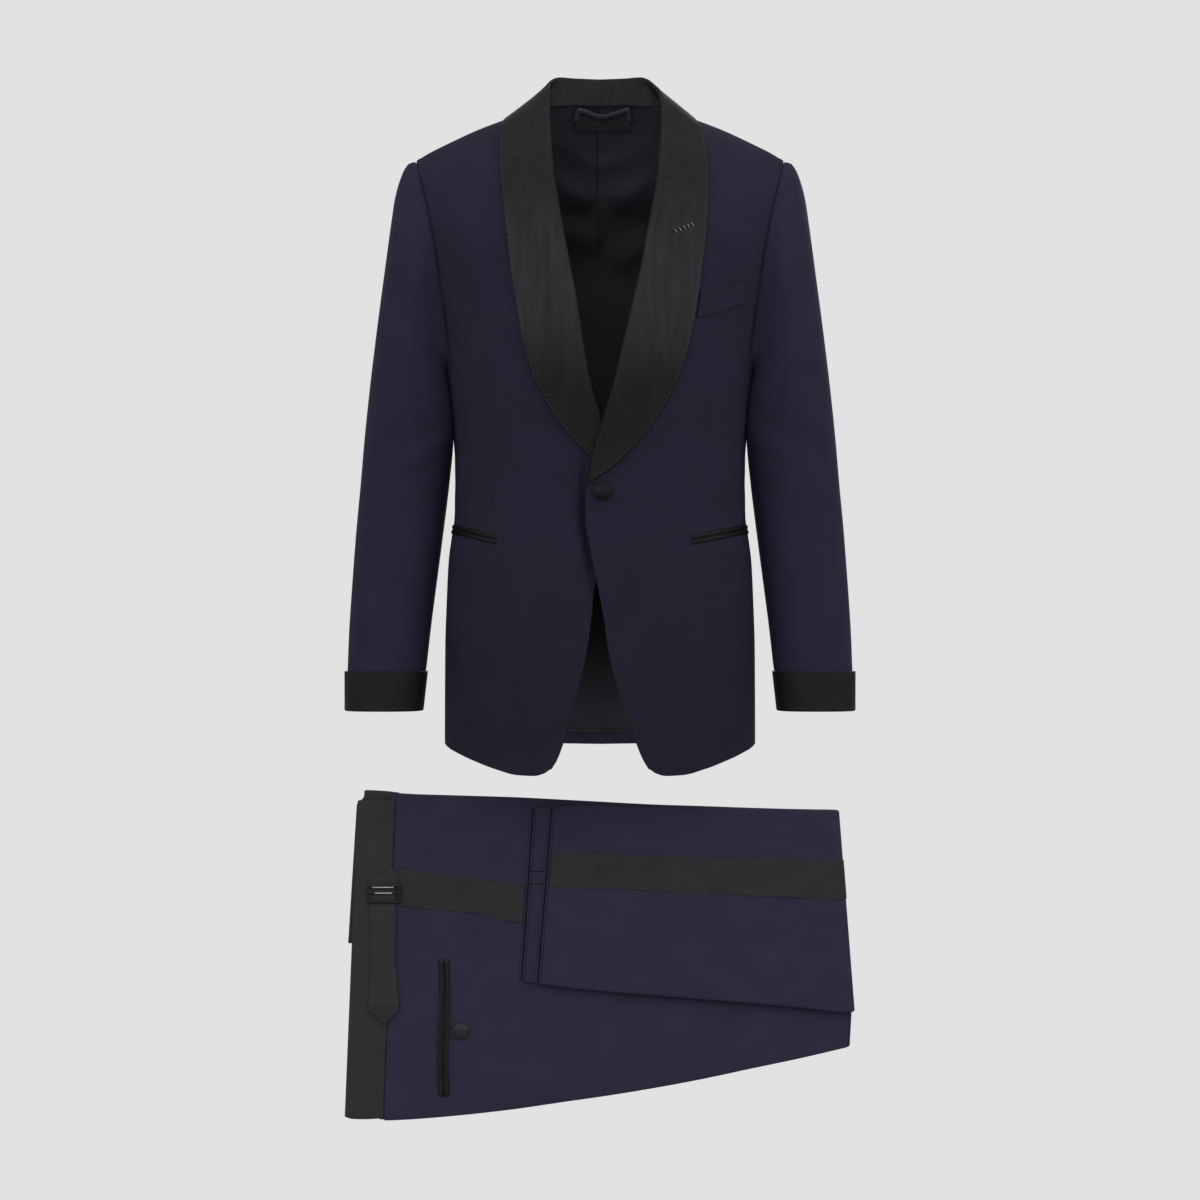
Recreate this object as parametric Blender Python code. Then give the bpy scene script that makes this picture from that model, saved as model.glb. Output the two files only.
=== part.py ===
# Two-piece dinner suit: a one-button jacket with a shawl collar, standing open as if worn,
# and its trousers folded in one upright plane below it.
# Metres, +Z up, the front faces -Y. "Left" and "right" are the wearer's, so left is +X.
# The origin is where the wearer holds the jacket up: the middle of the shoulder line.
import math

import bmesh
import bpy
import numpy as np

# ---- Driving dimensions ----
CLOTH = 0.0020            # wall of a cloth panel
COLLAR_CLOTH = 0.0022     # wall of the collar, with its canvas
SEAM = 0.00025            # each panel stops this far short of its seam line
LIFT = 0.0008             # what lies on a panel starts this far above it
LAPEL_LIFT = 0.0017       # the lapels, which bend with the chest
FACING_GAP = 0.0013       # between a front and the part of its lapel that turns in behind it
JET_LIFT = 0.0013         # the hip pockets' jets, which bend round the side
LINING_DEPTH = 0.0036     # the lining's outer side, below the outside of the cloth
LINING_CLOTH = 0.0010
LAP_START, LAP_END = 0.030, 0.090   # the left front's lap fades out between these places
ROUNDNESS = 2.4           # exponent of the superellipse of the body's cross-section
SHOULDER_Y = 0.012        # the shoulder seam's place, front to back
NECK_POINT_X = 0.080
SHOULDER_POINT_X, SHOULDER_POINT_Z = 0.217, -0.0377
FRONT_CLOSE, BACK_CLOSE = 0.17, 0.14   # the height over which the shoulder closes
FRONT_SEAM_TOP, FRONT_SEAM_HEM = 68.0, 75.0   # underarm panel's seams, degrees round from the front
BACK_SEAM_TOP, BACK_SEAM_HEM = 115.0, 124.0
FRONT_SEAM_TOP_Z, BACK_SEAM_TOP_Z, CENTRE_BACK_TOP_Z = -0.270, -0.250, -0.262
SEAM_BEND_Z, SEAM_BEND = -0.72, 0.45    # where the panel's seams start to draw in, and over what height
SHOULDER_MITRE = (0.42, 0.0, 0.907)     # the way that the shoulder seam faces
UPPER_ROWS = 9
PANEL_INSET = 0.0054      # the front stops this far short of the outside of the lapel's fold
SLEEVE_SIDES = 18
CUFF_TOP_Z, CUFF_END_Z = -0.6400, -0.6859
CUFF_CLOTH, CUFF_GAP = 0.0026, 0.0006
LINING_MARGIN_SIDE, LINING_MARGIN_HEM, LINING_MARGIN_TOP = 0.004, 0.014, 0.0035
LAPEL_HOOK, LAPEL_HOOK_STEP, LAPEL_HOOK_MOST = 0.002, 0.0035, 0.009   # the part turned in behind
COLLAR_FOLD, COLLAR_SWELL = 0.0026, 0.0014   # the fold's radius, and how far the fall rounds out

# body's cross-sections
TORSO = {
    "z":          [-0.770, -0.610, -0.560, -0.510, -0.485, -0.462, -0.440, -0.390, -0.340,
                   -0.290, -0.225, -0.165, -0.115, -0.040, 0.080],
    "half_width": [0.1825, 0.1818, 0.1802, 0.1778, 0.1747, 0.1714, 0.1706, 0.1704, 0.1748,
                   0.1815, 0.1930, 0.2060, 0.2230, 0.2520, 0.2700],
    "front":      [0.1230, 0.1210, 0.1185, 0.1160, 0.1150, 0.1145, 0.1145, 0.1160, 0.1205,
                   0.1245, 0.1270, 0.1260, 0.1220, 0.1160, 0.1120],
    "back":       [0.1250, 0.1250, 0.1190, 0.1100, 0.1050, 0.1000, 0.0975, 0.0985, 0.1050,
                   0.1120, 0.1180, 0.1200, 0.1180, 0.1080, 0.1000],
}
# height of the shoulder line
SHOULDER = {
    "x": [0.000, 0.040, 0.080, 0.110, 0.145, 0.176, 0.205, 0.217, 0.240],
    "z": [0.0600, 0.0430, 0.0262, 0.0134, -0.0002, -0.0145, -0.0292, -0.0368, -0.0495],
}
# how far the left front stands out where it laps over the right one
LAP = {
    "z":   [-0.750, -0.560, -0.460, -0.420, -0.340, -0.200, -0.100],
    "out": [0.0035, 0.0042, 0.0070, 0.0100, 0.0100, 0.0040, 0.0000],
}
# heights of the front edge at the rows below the armhole, which all panels share
ROWS_Z = [-0.7476, -0.7180, -0.6750, -0.6280, -0.5800, -0.5380, -0.4950, -0.4600,
          -0.4290, -0.4200, -0.3750, -0.3300, -0.2906]
# hem, degrees round from the front
HEM = {
    "angle": [0.0, 13.8, 16.6, 20.5, 27.2, 37.0, 51.6, 66.7, 90.0, 125.0, 180.0],
    "z": [-0.7430, -0.7476, -0.7530, -0.7558, -0.7550, -0.7490, -0.7388, -0.7302, -0.7230, -0.7265,
          -0.7304],
}
# front edge of both fronts below the lapel, from the hem's round corner up
FRONT_EDGE = {
    "z": [-0.7476, -0.7395, -0.7201, -0.6917, -0.6530, -0.6155, -0.5746, -0.5380],
    "x": [0.0552, 0.0495, 0.0410, 0.0324, 0.0199, 0.0108, 0.0040, -0.0030],
}
LEFT_EDGE_TOP = {"z": [-0.5160, -0.4906, -0.4679, -0.4497, -0.4290],
                 "x": [-0.0075, -0.0119, -0.0160, -0.0165, -0.0152]}
RIGHT_EDGE_TOP = {"z": [-0.5160, -0.4906, -0.4679, -0.4497, -0.4290],
                  "x": [-0.0080, -0.0130, -0.0165, -0.0178, -0.0175]}
# inner edge of the armhole on the front and the back
ARMHOLE_FRONT = {
    "z": [-0.270, -0.230, -0.175, -0.125, -0.080, -0.0377],
    "x": [0.1745, 0.1785, 0.1860, 0.1945, 0.2055, 0.2170],
}
ARMHOLE_BACK = {
    "z": [-0.250, -0.200, -0.150, -0.100, -0.0377],
    "x": [0.1735, 0.1840, 0.1920, 0.2015, 0.2170],
}
ARMHOLE_BASE = {
    "angle": [68.0, 80.0, 92.0, 104.0, 115.0],
    "z": [-0.2700, -0.2870, -0.2906, -0.2790, -0.2500],
}
BACK_NECK = {"x": [0.000, 0.030, 0.060, 0.080], "z": [0.0360, 0.0350, 0.0310, 0.0255]}

# shawl lapels below the shoulder: the roll (inner edge) and the outer edge, station by station
LEFT_LAPEL = {
    "roll_x": [0.0701, 0.0663, 0.0624, 0.0542, 0.0461, 0.0382, 0.0275, 0.0153, 0.0085, 0.0017,
               -0.0040, -0.0085, -0.0112],
    "roll_z": [-0.0131, -0.0550, -0.0872, -0.1308, -0.1761, -0.2094, -0.2550, -0.3055, -0.3290,
               -0.3520, -0.3740, -0.3929, -0.4110],
    "edge_x": [0.1200, 0.1233, 0.1225, 0.1200, 0.1150, 0.1090, 0.1010, 0.0900, 0.0778, 0.0539,
               0.0267, 0.0080, -0.0080],
    "edge_z": [-0.0200, -0.0600, -0.0950, -0.1350, -0.1760, -0.2200, -0.2600, -0.2980, -0.3248,
               -0.3600, -0.3918, -0.4080, -0.4165],
}
RIGHT_LAPEL = {
    "roll_x": [0.0573, 0.0533, 0.0490, 0.0415, 0.0335, 0.0267, 0.0205, 0.0125, 0.0060, -0.0040,
               -0.0100, -0.0150, -0.0178],
    "roll_z": [-0.0131, -0.0597, -0.0880, -0.1310, -0.1761, -0.2094, -0.2500, -0.2960, -0.3200,
               -0.3482, -0.3700, -0.3900, -0.4090],
    "edge_x": [0.1159, 0.1145, 0.1105, 0.1060, 0.1005, 0.0940, 0.0870, 0.0757, 0.0640, 0.0440,
               0.0220, 0.0030, -0.0130],
    "edge_z": [-0.0180, -0.0600, -0.0930, -0.1330, -0.1780, -0.2180, -0.2580, -0.3002, -0.3240,
               -0.3560, -0.3810, -0.4010, -0.4160],
}
# the collar round the neck, from the centre back to the front of the shoulder.
# drop is how far its outer edge lies below the shoulder line: behind it where negative.
COLLAR = {
    "roll_x_left":  [0.000, 0.030, 0.049, 0.0620, 0.0725],
    "roll_x_right": [0.000, 0.030, 0.049, 0.0600, 0.0612],
    "roll_y": [0.0600, 0.0535, 0.0360, 0.0120, -0.0140],
    "roll_z": [0.0670, 0.0680, 0.0665, 0.0540, 0.0340],
    "edge_x": [0.000, 0.042, 0.080, 0.1040, 0.1130],
    "drop":   [-0.0400, -0.0290, -0.0170, -0.0040, 0.0120],
    "foot_x": [0.000, 0.034, 0.060, 0.0790, 0.0795],
    "lift":   [0.0006, 0.0009, 0.0018, 0.0058, 0.0036],
}

# sleeve's cross-sections, each a slanted ellipse between its underarm and its outer point
SLEEVE = {
    "in_x":  [0.1845, 0.1850, 0.1852, 0.1855, 0.1858, 0.1855, 0.1840, 0.1812, 0.1782, 0.1752,
              0.1782, 0.1859, 0.1976, 0.2030, 0.2048, 0.2085],
    "in_z":  [-0.2890, -0.2903, -0.2915, -0.2935, -0.2960, -0.2990, -0.3050, -0.3150, -0.3330,
              -0.3720, -0.4200, -0.4847, -0.5788, -0.6300, -0.6420, -0.6845],
    "out_x": [0.2185, 0.2280, 0.2350, 0.2424, 0.2488, 0.2547, 0.2606, 0.2665, 0.2720, 0.2770,
              0.2817, 0.2876, 0.2935, 0.2952, 0.2954, 0.2952],
    "out_z": [-0.0375, -0.0425, -0.0545, -0.0847, -0.1318, -0.1788, -0.2259, -0.2729, -0.3200,
              -0.3671, -0.4200, -0.4847, -0.5788, -0.6300, -0.6400, -0.6845],
    "mid_y": [0.004, 0.003, 0.002, 0.001, 0.001, 0.002, 0.002, 0.003, 0.004, 0.006,
              0.008, 0.007, -0.005, -0.013, -0.015, -0.021],
    "depth": [0.066, 0.068, 0.070, 0.072, 0.073, 0.073, 0.072, 0.071, 0.069, 0.067,
              0.064, 0.060, 0.052, 0.047, 0.0465, 0.0455],
    "armhole": [1.00, 0.82, 0.62, 0.38, 0.20, 0.10, 0.04, 0, 0, 0, 0, 0, 0, 0, 0, 0],
}
ARMHOLE_MIDDLE = (0.004, -0.16415)      # y and z
ARMHOLE_RADII = (0.066, 0.1265)
SLEEVE_EASE = 0.0010                    # the sleeve starts this far outside the armhole
TOP_SLEEVE_START, TOP_SLEEVE_SIDES = -3, 11   # ring sides from the hindarm to the forearm seam

# pockets on the jacket: the jets' centre line from its front end, degrees round the body
LEFT_POCKET = {"angle": [32.5, 50.0, 70.0, 92.0], "z": [-0.4880, -0.4845, -0.4750, -0.4720]}
RIGHT_POCKET = {"angle": [39.5, 54.0, 72.0, 95.0], "z": [-0.4870, -0.4830, -0.4745, -0.4715]}
WELT = {"x": [0.1105, 0.1300, 0.1480, 0.1645], "low": [-0.2335, -0.2290, -0.2215, -0.2135],
        "high": [-0.2050, -0.2010, -0.1950, -0.1900], "lean": [0.0035, 0.0020, 0.0010, 0.0]}
WELT_CLOTH = 0.0014
JET_PROFILE = {"offset": [-0.0052, -0.0032, 0.0, 0.0032, 0.0052],      # two jets and the slit
               "height": [0.0012, 0.0024, 0.0014, 0.0024, 0.0012]}

# covered buttons: the shape, then each one
BUTTON_PROFILE = {"radius": [0.80, 1.0, 0.98, 0.80, 0.55], "height": [0.0, 0.28, 0.55, 0.80, 0.93]}
FRONT_BUTTON = {"x": 0.0028, "z": -0.4315, "radius": 0.0105, "height": 0.0058, "sides": 20}
POCKET_BUTTON = {"x": -0.1641, "z": -1.0624, "radius": 0.0098, "height": 0.0050, "sides": 16}

# inside the back of the neck
LABEL = {"x": (-0.0317, 0.0388), "low": 0.0054, "high": 0.0245, "sag": 0.0, "depth": 0.0022,
         "cloth": 0.0010, "levels": 4}
HANGER_LOOP = {"x": (-0.0270, 0.0355), "low": 0.0285, "high": 0.0330, "sag": 0.0095,
               "depth": 0.0038, "cloth": 0.0014, "levels": 2}

# folded trousers: places in their plane
BACK_Y = 0.0110           # the flat underside's place
LAYER = 0.0047            # one flattened leg
LAYER_GAP = 0.0004
THIGH = {
    "x":      [-0.2475, -0.2300, -0.1735, -0.1029, -0.0465, 0.0100, 0.0665, 0.1229, 0.1794,
               0.2359, 0.2924],
    "top":    [-0.7815, -0.7835, -0.7855, -0.7877, -0.7905, -0.7936, -0.7965, -0.7983, -0.8003,
               -0.8018, -0.8026],
    "bottom": [-1.1672, -1.1660, -1.1612, -1.1530, -1.1447, -1.1365, -1.1271, -1.1165, -1.1047,
               -1.0930, -1.0800],
}
SHIN = {
    "x":      [-0.0920, -0.0200, 0.0650, 0.1500, 0.2330, 0.2800],
    "top":    [-0.8000, -0.7960, -0.7985, -0.8000, -0.8015, -0.8030],
    "bottom": [-1.0040, -1.0130, -1.0200, -1.0270, -1.0340, -1.0395],
}
FAR_HEM_TOP_X, FAR_HEM_BOTTOM_X = -0.0570, -0.0735
NEAR_HEM_TOP_X, NEAR_HEM_BOTTOM_X = -0.0790, -0.0925
KNEE_TOP_X, KNEE_BOTTOM_X = 0.2790, 0.2975
FAR_WAIST_X, NEAR_WAIST_X = (-0.2350, -0.2500), (-0.2400, -0.2545)     # top and bottom
NEAR_KNEE_INSET = 0.0120                # the near leg's fold, nested in the far leg's
THIGH_SHARES = [0, 0.12, 0.28, 0.44, 0.6, 0.76, 0.9, 1.0]
SHIN_SHARES = [1.0, 0.86, 0.68, 0.5, 0.32, 0.14, 0.0]
KNEE_TURNS = [30, 60, 90, 120, 150]
TRIM_GAP, TRIM_CLOTH = 0.0004, 0.0010   # what lies on the trousers

# the two halves of the waistband, flattened: each column of points from its top to its bottom
WAISTBAND_NEAR = {
    "top_x":    [-0.2853, -0.2780, -0.2600, -0.2412],
    "top_z":    [-0.7915, -0.7905, -0.7900, -0.7905],
    "bottom_x": [-0.3005, -0.2925, -0.2750, -0.2552],
    "bottom_z": [-1.1635, -1.1660, -1.1665, -1.1655],
}
WAISTBAND_FAR = {
    "top_x":    [-0.2775, -0.2700, -0.2500, -0.2365],
    "top_z":    [-0.7800, -0.7795, -0.7805, -0.7825],
    "bottom_x": [-0.2968, -0.2880, -0.2580, -0.2431],
    "bottom_z": [-0.9600, -0.9600, -0.9600, -0.9600],
}
WAISTBAND_PROUD, WAISTBAND_LAP = 0.0006, 0.0008    # in front of the leg, and into the far half

# the side stripe where it shows, and the adjuster's strap between its pointed tabs
STRIPE_THIGH = {
    "top_x":    [-0.2365, -0.2000, -0.1476, -0.0890],
    "top_z":    [-0.8715, -0.8760, -0.8830, -0.8930],
    "bottom_x": [-0.2370, -0.2000, -0.1476, -0.0905],
    "bottom_z": [-0.9145, -0.9190, -0.9240, -0.9360],
}
STRIPE_SHIN = {
    "top_x":    [-0.0585, 0.0200, 0.0900, 0.1700, 0.2335, 0.2745],
    "top_z":    [-0.8506, -0.8540, -0.8565, -0.8590, -0.8600, -0.8620],
    "bottom_x": [-0.0600, 0.0200, 0.0900, 0.1700, 0.2335, 0.2760],
    "bottom_z": [-0.8918, -0.8945, -0.8980, -0.9020, -0.9045, -0.9075],
}
STRAP = {
    "top_x":    [-0.2690, -0.2715, -0.2700, -0.2700, -0.2710, -0.2700, -0.2560],
    "top_z":    [-0.8730, -0.9080, -0.9400, -0.9750, -1.0240, -1.0370, -1.0540],
    "bottom_x": [-0.2400, -0.2405, -0.2400, -0.2410, -0.2375, -0.2380, -0.2520],
    "bottom_z": [-0.8730, -0.9080, -0.9400, -0.9750, -1.0240, -1.0370, -1.0545],
}
STRAP_GAP, STRAP_CLOTH = 0.0010, 0.0018
BUCKLE = {"x": (-0.2725, -0.2355), "z": (-0.9112, -0.8895), "slot_x": (-0.2695, -0.2385),
          "thick": 0.0016}
BUCKLE_SLOTS = {"low_z": [-0.8975, -0.9080], "high_z": [-0.8925, -0.9005]}
BACK_JETS = {"offset": [-0.0064, -0.0040, -0.0006, 0.0006, 0.0040, 0.0064],
             "height": [0.0008, 0.0020, 0.0006, 0.0006, 0.0020, 0.0008]}
BACK_POCKET_X, BACK_POCKET_TOP_Z, BACK_POCKET_LENGTH, BACK_POCKET_BOW = -0.1838, -0.9780, 0.1615, 0.0010

LOWER_SHARES = [(z - ROWS_Z[0]) / (ROWS_Z[-1] - ROWS_Z[0]) for z in ROWS_Z]
UPPER_SHARES = [1 - (1 - i / (UPPER_ROWS - 1)) ** 1.55 for i in range(1, UPPER_ROWS)]

COLOURS = {               # sRGB, roughness
    "wool": ("#262535", 0.85),
    "satin": ("#28282b", 0.55),
    "lining": ("#17171b", 0.40),
    "metal": ("#1b1b1d", 0.35),
    "label": ("#141416", 0.60),
}


# ---- Numbers ----
def slopes(x, y):
    """Slopes of a curve through the points that never swings past them."""
    step = np.diff(x)
    rise = np.diff(y) / step
    slope = np.zeros(len(x))
    slope[0], slope[-1] = rise[0], rise[-1]
    for i in range(1, len(x) - 1):
        if rise[i - 1] * rise[i] > 0:
            w1, w2 = 2 * step[i] + step[i - 1], step[i] + 2 * step[i - 1]
            slope[i] = (w1 + w2) / (w1 / rise[i - 1] + w2 / rise[i])
    return slope


def curve(xs, ys, at):
    """The value at `at` of the smooth curve through a table's points."""
    xs, ys = np.asarray(xs, float), np.asarray(ys, float)
    at = np.clip(np.asarray(at, float), xs[0], xs[-1])
    slope = slopes(xs, ys)
    i = np.clip(np.searchsorted(xs, at, side="right") - 1, 0, len(xs) - 2)
    h = xs[i + 1] - xs[i]
    t = (at - xs[i]) / h
    return ((1 + 2 * t) * (1 - t) ** 2 * ys[i] + t * (1 - t) ** 2 * h * slope[i]
            + t * t * (3 - 2 * t) * ys[i + 1] + t * t * (t - 1) * h * slope[i + 1])


def through(points, at):
    """Points on the smooth curve through a list of points, at places counted in stations."""
    points = np.asarray(points, float)
    last = len(points) - 1
    out = []
    for t in at:
        i = min(int(t), last - 1)
        f = t - i
        p1, p2 = points[i], points[i + 1]
        p0 = points[i - 1] if i > 0 else 2 * p1 - p2
        p3 = points[i + 2] if i + 2 <= last else 2 * p2 - p1
        out.append(0.5 * (2 * p1 + (p2 - p0) * f + (2 * p0 - 5 * p1 + 4 * p2 - p3) * f ** 2
                          + (3 * p1 - p0 - 3 * p2 + p3) * f ** 3))
    return np.array(out)


def smooth_step(t):
    t = np.clip(t, 0.0, 1.0)
    return t * t * (3 - 2 * t)


# ---- The body's surface ----
def closing(distance, height):
    """How far the body has opened to its full depth, a distance below the shoulder line."""
    t = np.clip(distance / height, 0.0, 1.0)
    return (1 - (1 - t) ** 2.2) ** 0.85


def shoulder_z(x):
    return curve(SHOULDER["x"], SHOULDER["z"], abs(x))


def body(angle, z):
    """A point on the body at an angle round from the centre front (left is positive)."""
    turn = math.radians(abs(angle))
    power = 2 / ROUNDNESS
    half = curve(TORSO["z"], TORSO["half_width"], z)
    x = half * abs(math.sin(turn)) ** power
    below = shoulder_z(x) - z
    depth = abs(math.cos(turn)) ** power
    if turn <= math.pi / 2:
        ring = -curve(TORSO["z"], TORSO["front"], z) * depth
        y = SHOULDER_Y + (ring - SHOULDER_Y) * closing(below, FRONT_CLOSE)
    else:
        ring = curve(TORSO["z"], TORSO["back"], z) * depth
        y = SHOULDER_Y + (ring - SHOULDER_Y) * closing(below, BACK_CLOSE)
    return np.array([math.copysign(x, angle), y, z])


def angle_at(x, z, back=False):
    """The angle round the body where its surface passes x at height z."""
    half = curve(TORSO["z"], TORSO["half_width"], z)
    turn = math.degrees(math.asin(min(1.0, (abs(x) / half)) ** (ROUNDNESS / 2)))
    return math.copysign(180 - turn if back else turn, x)


def body_normal(angle, z):
    """The outward direction of the body's surface."""
    sign = math.copysign(1, angle)
    near = min(max(abs(angle), 1.5), 178.5) * sign
    across = body(near + 1.0, z) - body(near - 1.0, z)
    down = body(near, z - 0.004) - body(near, z - 0.0005)
    normal = np.cross(down, across)
    if abs(angle) < 1.5 or abs(angle) > 178.5:
        normal[0] = 0.0
    normal /= np.linalg.norm(normal)
    return normal if normal @ (body(near, z) - np.array([0, SHOULDER_Y, z])) >= 0 else -normal


def lap_of(x, z, side):
    """How far the left front stands out to pass over the right one."""
    if side < 0:
        return 0.0
    fade = 1 - smooth_step((x - LAP_START) / (LAP_END - LAP_START))
    return curve(LAP["z"], LAP["out"], z) * fade


# ---- Solids ----
def material_of(name):
    material = bpy.data.materials.get(name)
    if material is None:
        text, roughness = COLOURS[name]
        srgb = [int(text[i:i + 2], 16) / 255 for i in (1, 3, 5)]
        linear = [c / 12.92 if c <= 0.04045 else ((c + 0.055) / 1.055) ** 2.4 for c in srgb]
        material = bpy.data.materials.new(name)
        material.use_nodes = True
        shader = material.node_tree.nodes["Principled BSDF"]
        shader.inputs["Base Color"].default_value = (*linear, 1)
        shader.inputs["Roughness"].default_value = roughness
        shader.inputs["Metallic"].default_value = 0.8 if name == "metal" else 0.0
    return material


def add_object(name, bm, material):
    """Turn a closed bmesh into a named object with its faces pointing out."""
    bmesh.ops.recalc_face_normals(bm, faces=bm.faces)
    if bm.calc_volume(signed=True) < 0:
        bmesh.ops.reverse_faces(bm, faces=bm.faces)
    mesh = bpy.data.meshes.new(name)
    bm.to_mesh(mesh)
    bm.free()
    mesh.materials.append(material_of(material))
    mesh.shade_smooth()
    mesh.set_sharp_from_angle(angle=math.radians(50))
    thing = bpy.data.objects.new(name, mesh)
    bpy.context.scene.collection.objects.link(thing)
    return thing


def wall(name, outer, inner, material, wrap=False):
    """A cloth wall between an outer and an inner grid of points, with its rims closed."""
    outer, inner = np.asarray(outer), np.asarray(inner)
    rows, columns = outer.shape[:2]
    bm = bmesh.new()
    top = [[bm.verts.new(p) for p in row] for row in outer]
    low = [[bm.verts.new(p) for p in row] for row in inner]
    spans = [(j, (j + 1) % columns) for j in range(columns if wrap else columns - 1)]
    for i in range(rows - 1):
        for j, k in spans:
            bm.faces.new((top[i][j], top[i][k], top[i + 1][k], top[i + 1][j]))
            bm.faces.new((low[i + 1][j], low[i + 1][k], low[i][k], low[i][j]))
    for i in (0, rows - 1):
        for j, k in spans:
            bm.faces.new((top[i][k], top[i][j], low[i][j], low[i][k]))
    if not wrap:
        for j in (0, columns - 1):
            for i in range(rows - 1):
                bm.faces.new((top[i][j], top[i + 1][j], low[i + 1][j], low[i][j]))
    return add_object(name, bm, material)


def trim(grid, left=0.0, right=0.0, first=0.0, last=0.0):
    """Draw a grid's edges back from its seam lines."""
    grid = np.array(grid, float)

    def draw_back(edge, beside, distance):
        way = beside - edge
        length = np.linalg.norm(way, axis=-1, keepdims=True)
        return edge + way / np.maximum(length, 1e-9) * distance

    if left:
        grid[:, 0] = draw_back(grid[:, 0], grid[:, 1], left)
    if right:
        grid[:, -1] = draw_back(grid[:, -1], grid[:, -2], right)
    if first:
        grid[0] = draw_back(grid[0], grid[1], first)
    if last:
        grid[-1] = draw_back(grid[-1], grid[-2], last)
    return grid


def grid_normals(grid, wrap=False):
    """Directions square to a grid of points, worked out from the points beside each one."""
    along = np.gradient(grid, axis=0)
    if wrap:
        across = np.roll(grid, -1, axis=1) - np.roll(grid, 1, axis=1)
    else:
        across = np.gradient(grid, axis=1)
    normal = np.cross(along, across)
    return normal / np.linalg.norm(normal, axis=-1, keepdims=True)


# ---- Jacket panels ----
def front_edge(side):
    """The front's inner edge as heights and places, from the hem corner to the neck point."""
    lapel = LEFT_LAPEL if side > 0 else RIGHT_LAPEL
    top = LEFT_EDGE_TOP if side > 0 else RIGHT_EDGE_TOP
    zs = FRONT_EDGE["z"] + top["z"] + [-0.4210] + lapel["roll_z"][-2:0:-1] + [-0.014, 0.004, 0.0255]
    xs = (FRONT_EDGE["x"] + top["x"] + [x + PANEL_INSET for x in lapel["roll_x"][:0:-1]]
          + [lapel["roll_x"][0] + PANEL_INSET + 0.006, NECK_POINT_X + 0.003, NECK_POINT_X + 0.004])
    return zs, xs


def seam_angle(z, top, hem):
    return hem + (top - hem) * smooth_step((z - SEAM_BEND_Z) / SEAM_BEND)


def hem_z(angle):
    return curve(HEM["angle"], HEM["z"], abs(angle))


def front_params(side, columns=10):
    """Places (angle, height) of the front's grid, hem to shoulder, front edge to side."""
    zs, xs = front_edge(side)
    share = [(c / (columns - 1)) ** 0.9 for c in range(columns)]
    corner_z, junction_z = ROWS_Z[0], ROWS_Z[-1]
    rows = []
    for t in LOWER_SHARES:
        edge_z = corner_z + (junction_z - corner_z) * t
        seam_hem_z = hem_z(FRONT_SEAM_HEM)
        seam_z = seam_hem_z + (FRONT_SEAM_TOP_Z - seam_hem_z) * t
        edge_angle = angle_at(curve(zs, xs, edge_z), edge_z)
        seam = seam_angle(seam_z, FRONT_SEAM_TOP, FRONT_SEAM_HEM)
        row = []
        for s in share:
            angle = edge_angle + (seam - edge_angle) * s
            z = edge_z + (seam_z - edge_z) * s
            bump = hem_z(angle) - (corner_z + (seam_hem_z - corner_z) * s)
            row.append((angle, z + bump * max(0.0, 1 - t * 1.6) ** 2))
        rows.append(row)
    base = [body(a, z)[0] for a, z in rows[-1]]
    spread = [(x - base[0]) / (base[-1] - base[0]) for x in base]
    for g in UPPER_SHARES:
        row = []
        for c, s in enumerate(spread):
            top_x = xs[-1] + (SHOULDER_POINT_X - xs[-1]) * s
            low_z = rows[len(ROWS_Z) - 1][c][1]
            z = low_z + (shoulder_z(top_x) - low_z) * g
            edge_z = junction_z + (shoulder_z(xs[-1]) - junction_z) * g
            arm_z = FRONT_SEAM_TOP_Z + (shoulder_z(SHOULDER_POINT_X) - FRONT_SEAM_TOP_Z) * g
            low_x = curve(zs, xs, edge_z)
            arm_x = curve(ARMHOLE_FRONT["z"], ARMHOLE_FRONT["x"], arm_z)
            row.append((angle_at(low_x + (arm_x - low_x) * s, z), z))
        rows.append(row)
    return rows


def back_params(columns=8):
    """Places of half the back's grid, hem to shoulder, centre back to side."""
    share = [c / (columns - 1) for c in range(columns)]
    centre_hem = hem_z(180)
    rows = []
    for t in LOWER_SHARES:
        centre_z = centre_hem + (CENTRE_BACK_TOP_Z - centre_hem) * t
        seam_hem_z = hem_z(BACK_SEAM_HEM)
        seam_z = seam_hem_z + (BACK_SEAM_TOP_Z - seam_hem_z) * t
        seam = seam_angle(seam_z, BACK_SEAM_TOP, BACK_SEAM_HEM)
        rows.append([(180 + (seam - 180) * s, centre_z + (seam_z - centre_z) * s) for s in share])
    base = [body(a, z)[0] for a, z in rows[-1]]
    spread = [(x - base[0]) / (base[-1] - base[0]) for x in base]
    for g in UPPER_SHARES:
        row = []
        for c, s in enumerate(spread):
            top_x = SHOULDER_POINT_X * s
            top_z = (shoulder_z(top_x) if top_x > NECK_POINT_X
                     else curve(BACK_NECK["x"], BACK_NECK["z"], top_x))
            low_z = rows[len(ROWS_Z) - 1][c][1]
            z = low_z + (top_z - low_z) * g
            arm_z = BACK_SEAM_TOP_Z + (shoulder_z(SHOULDER_POINT_X) - BACK_SEAM_TOP_Z) * g
            arm_x = curve(ARMHOLE_BACK["z"], ARMHOLE_BACK["x"], arm_z)
            row.append((angle_at(max(arm_x * s, 1e-6), z, back=True), z))
        rows.append(row)
    return rows


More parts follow.
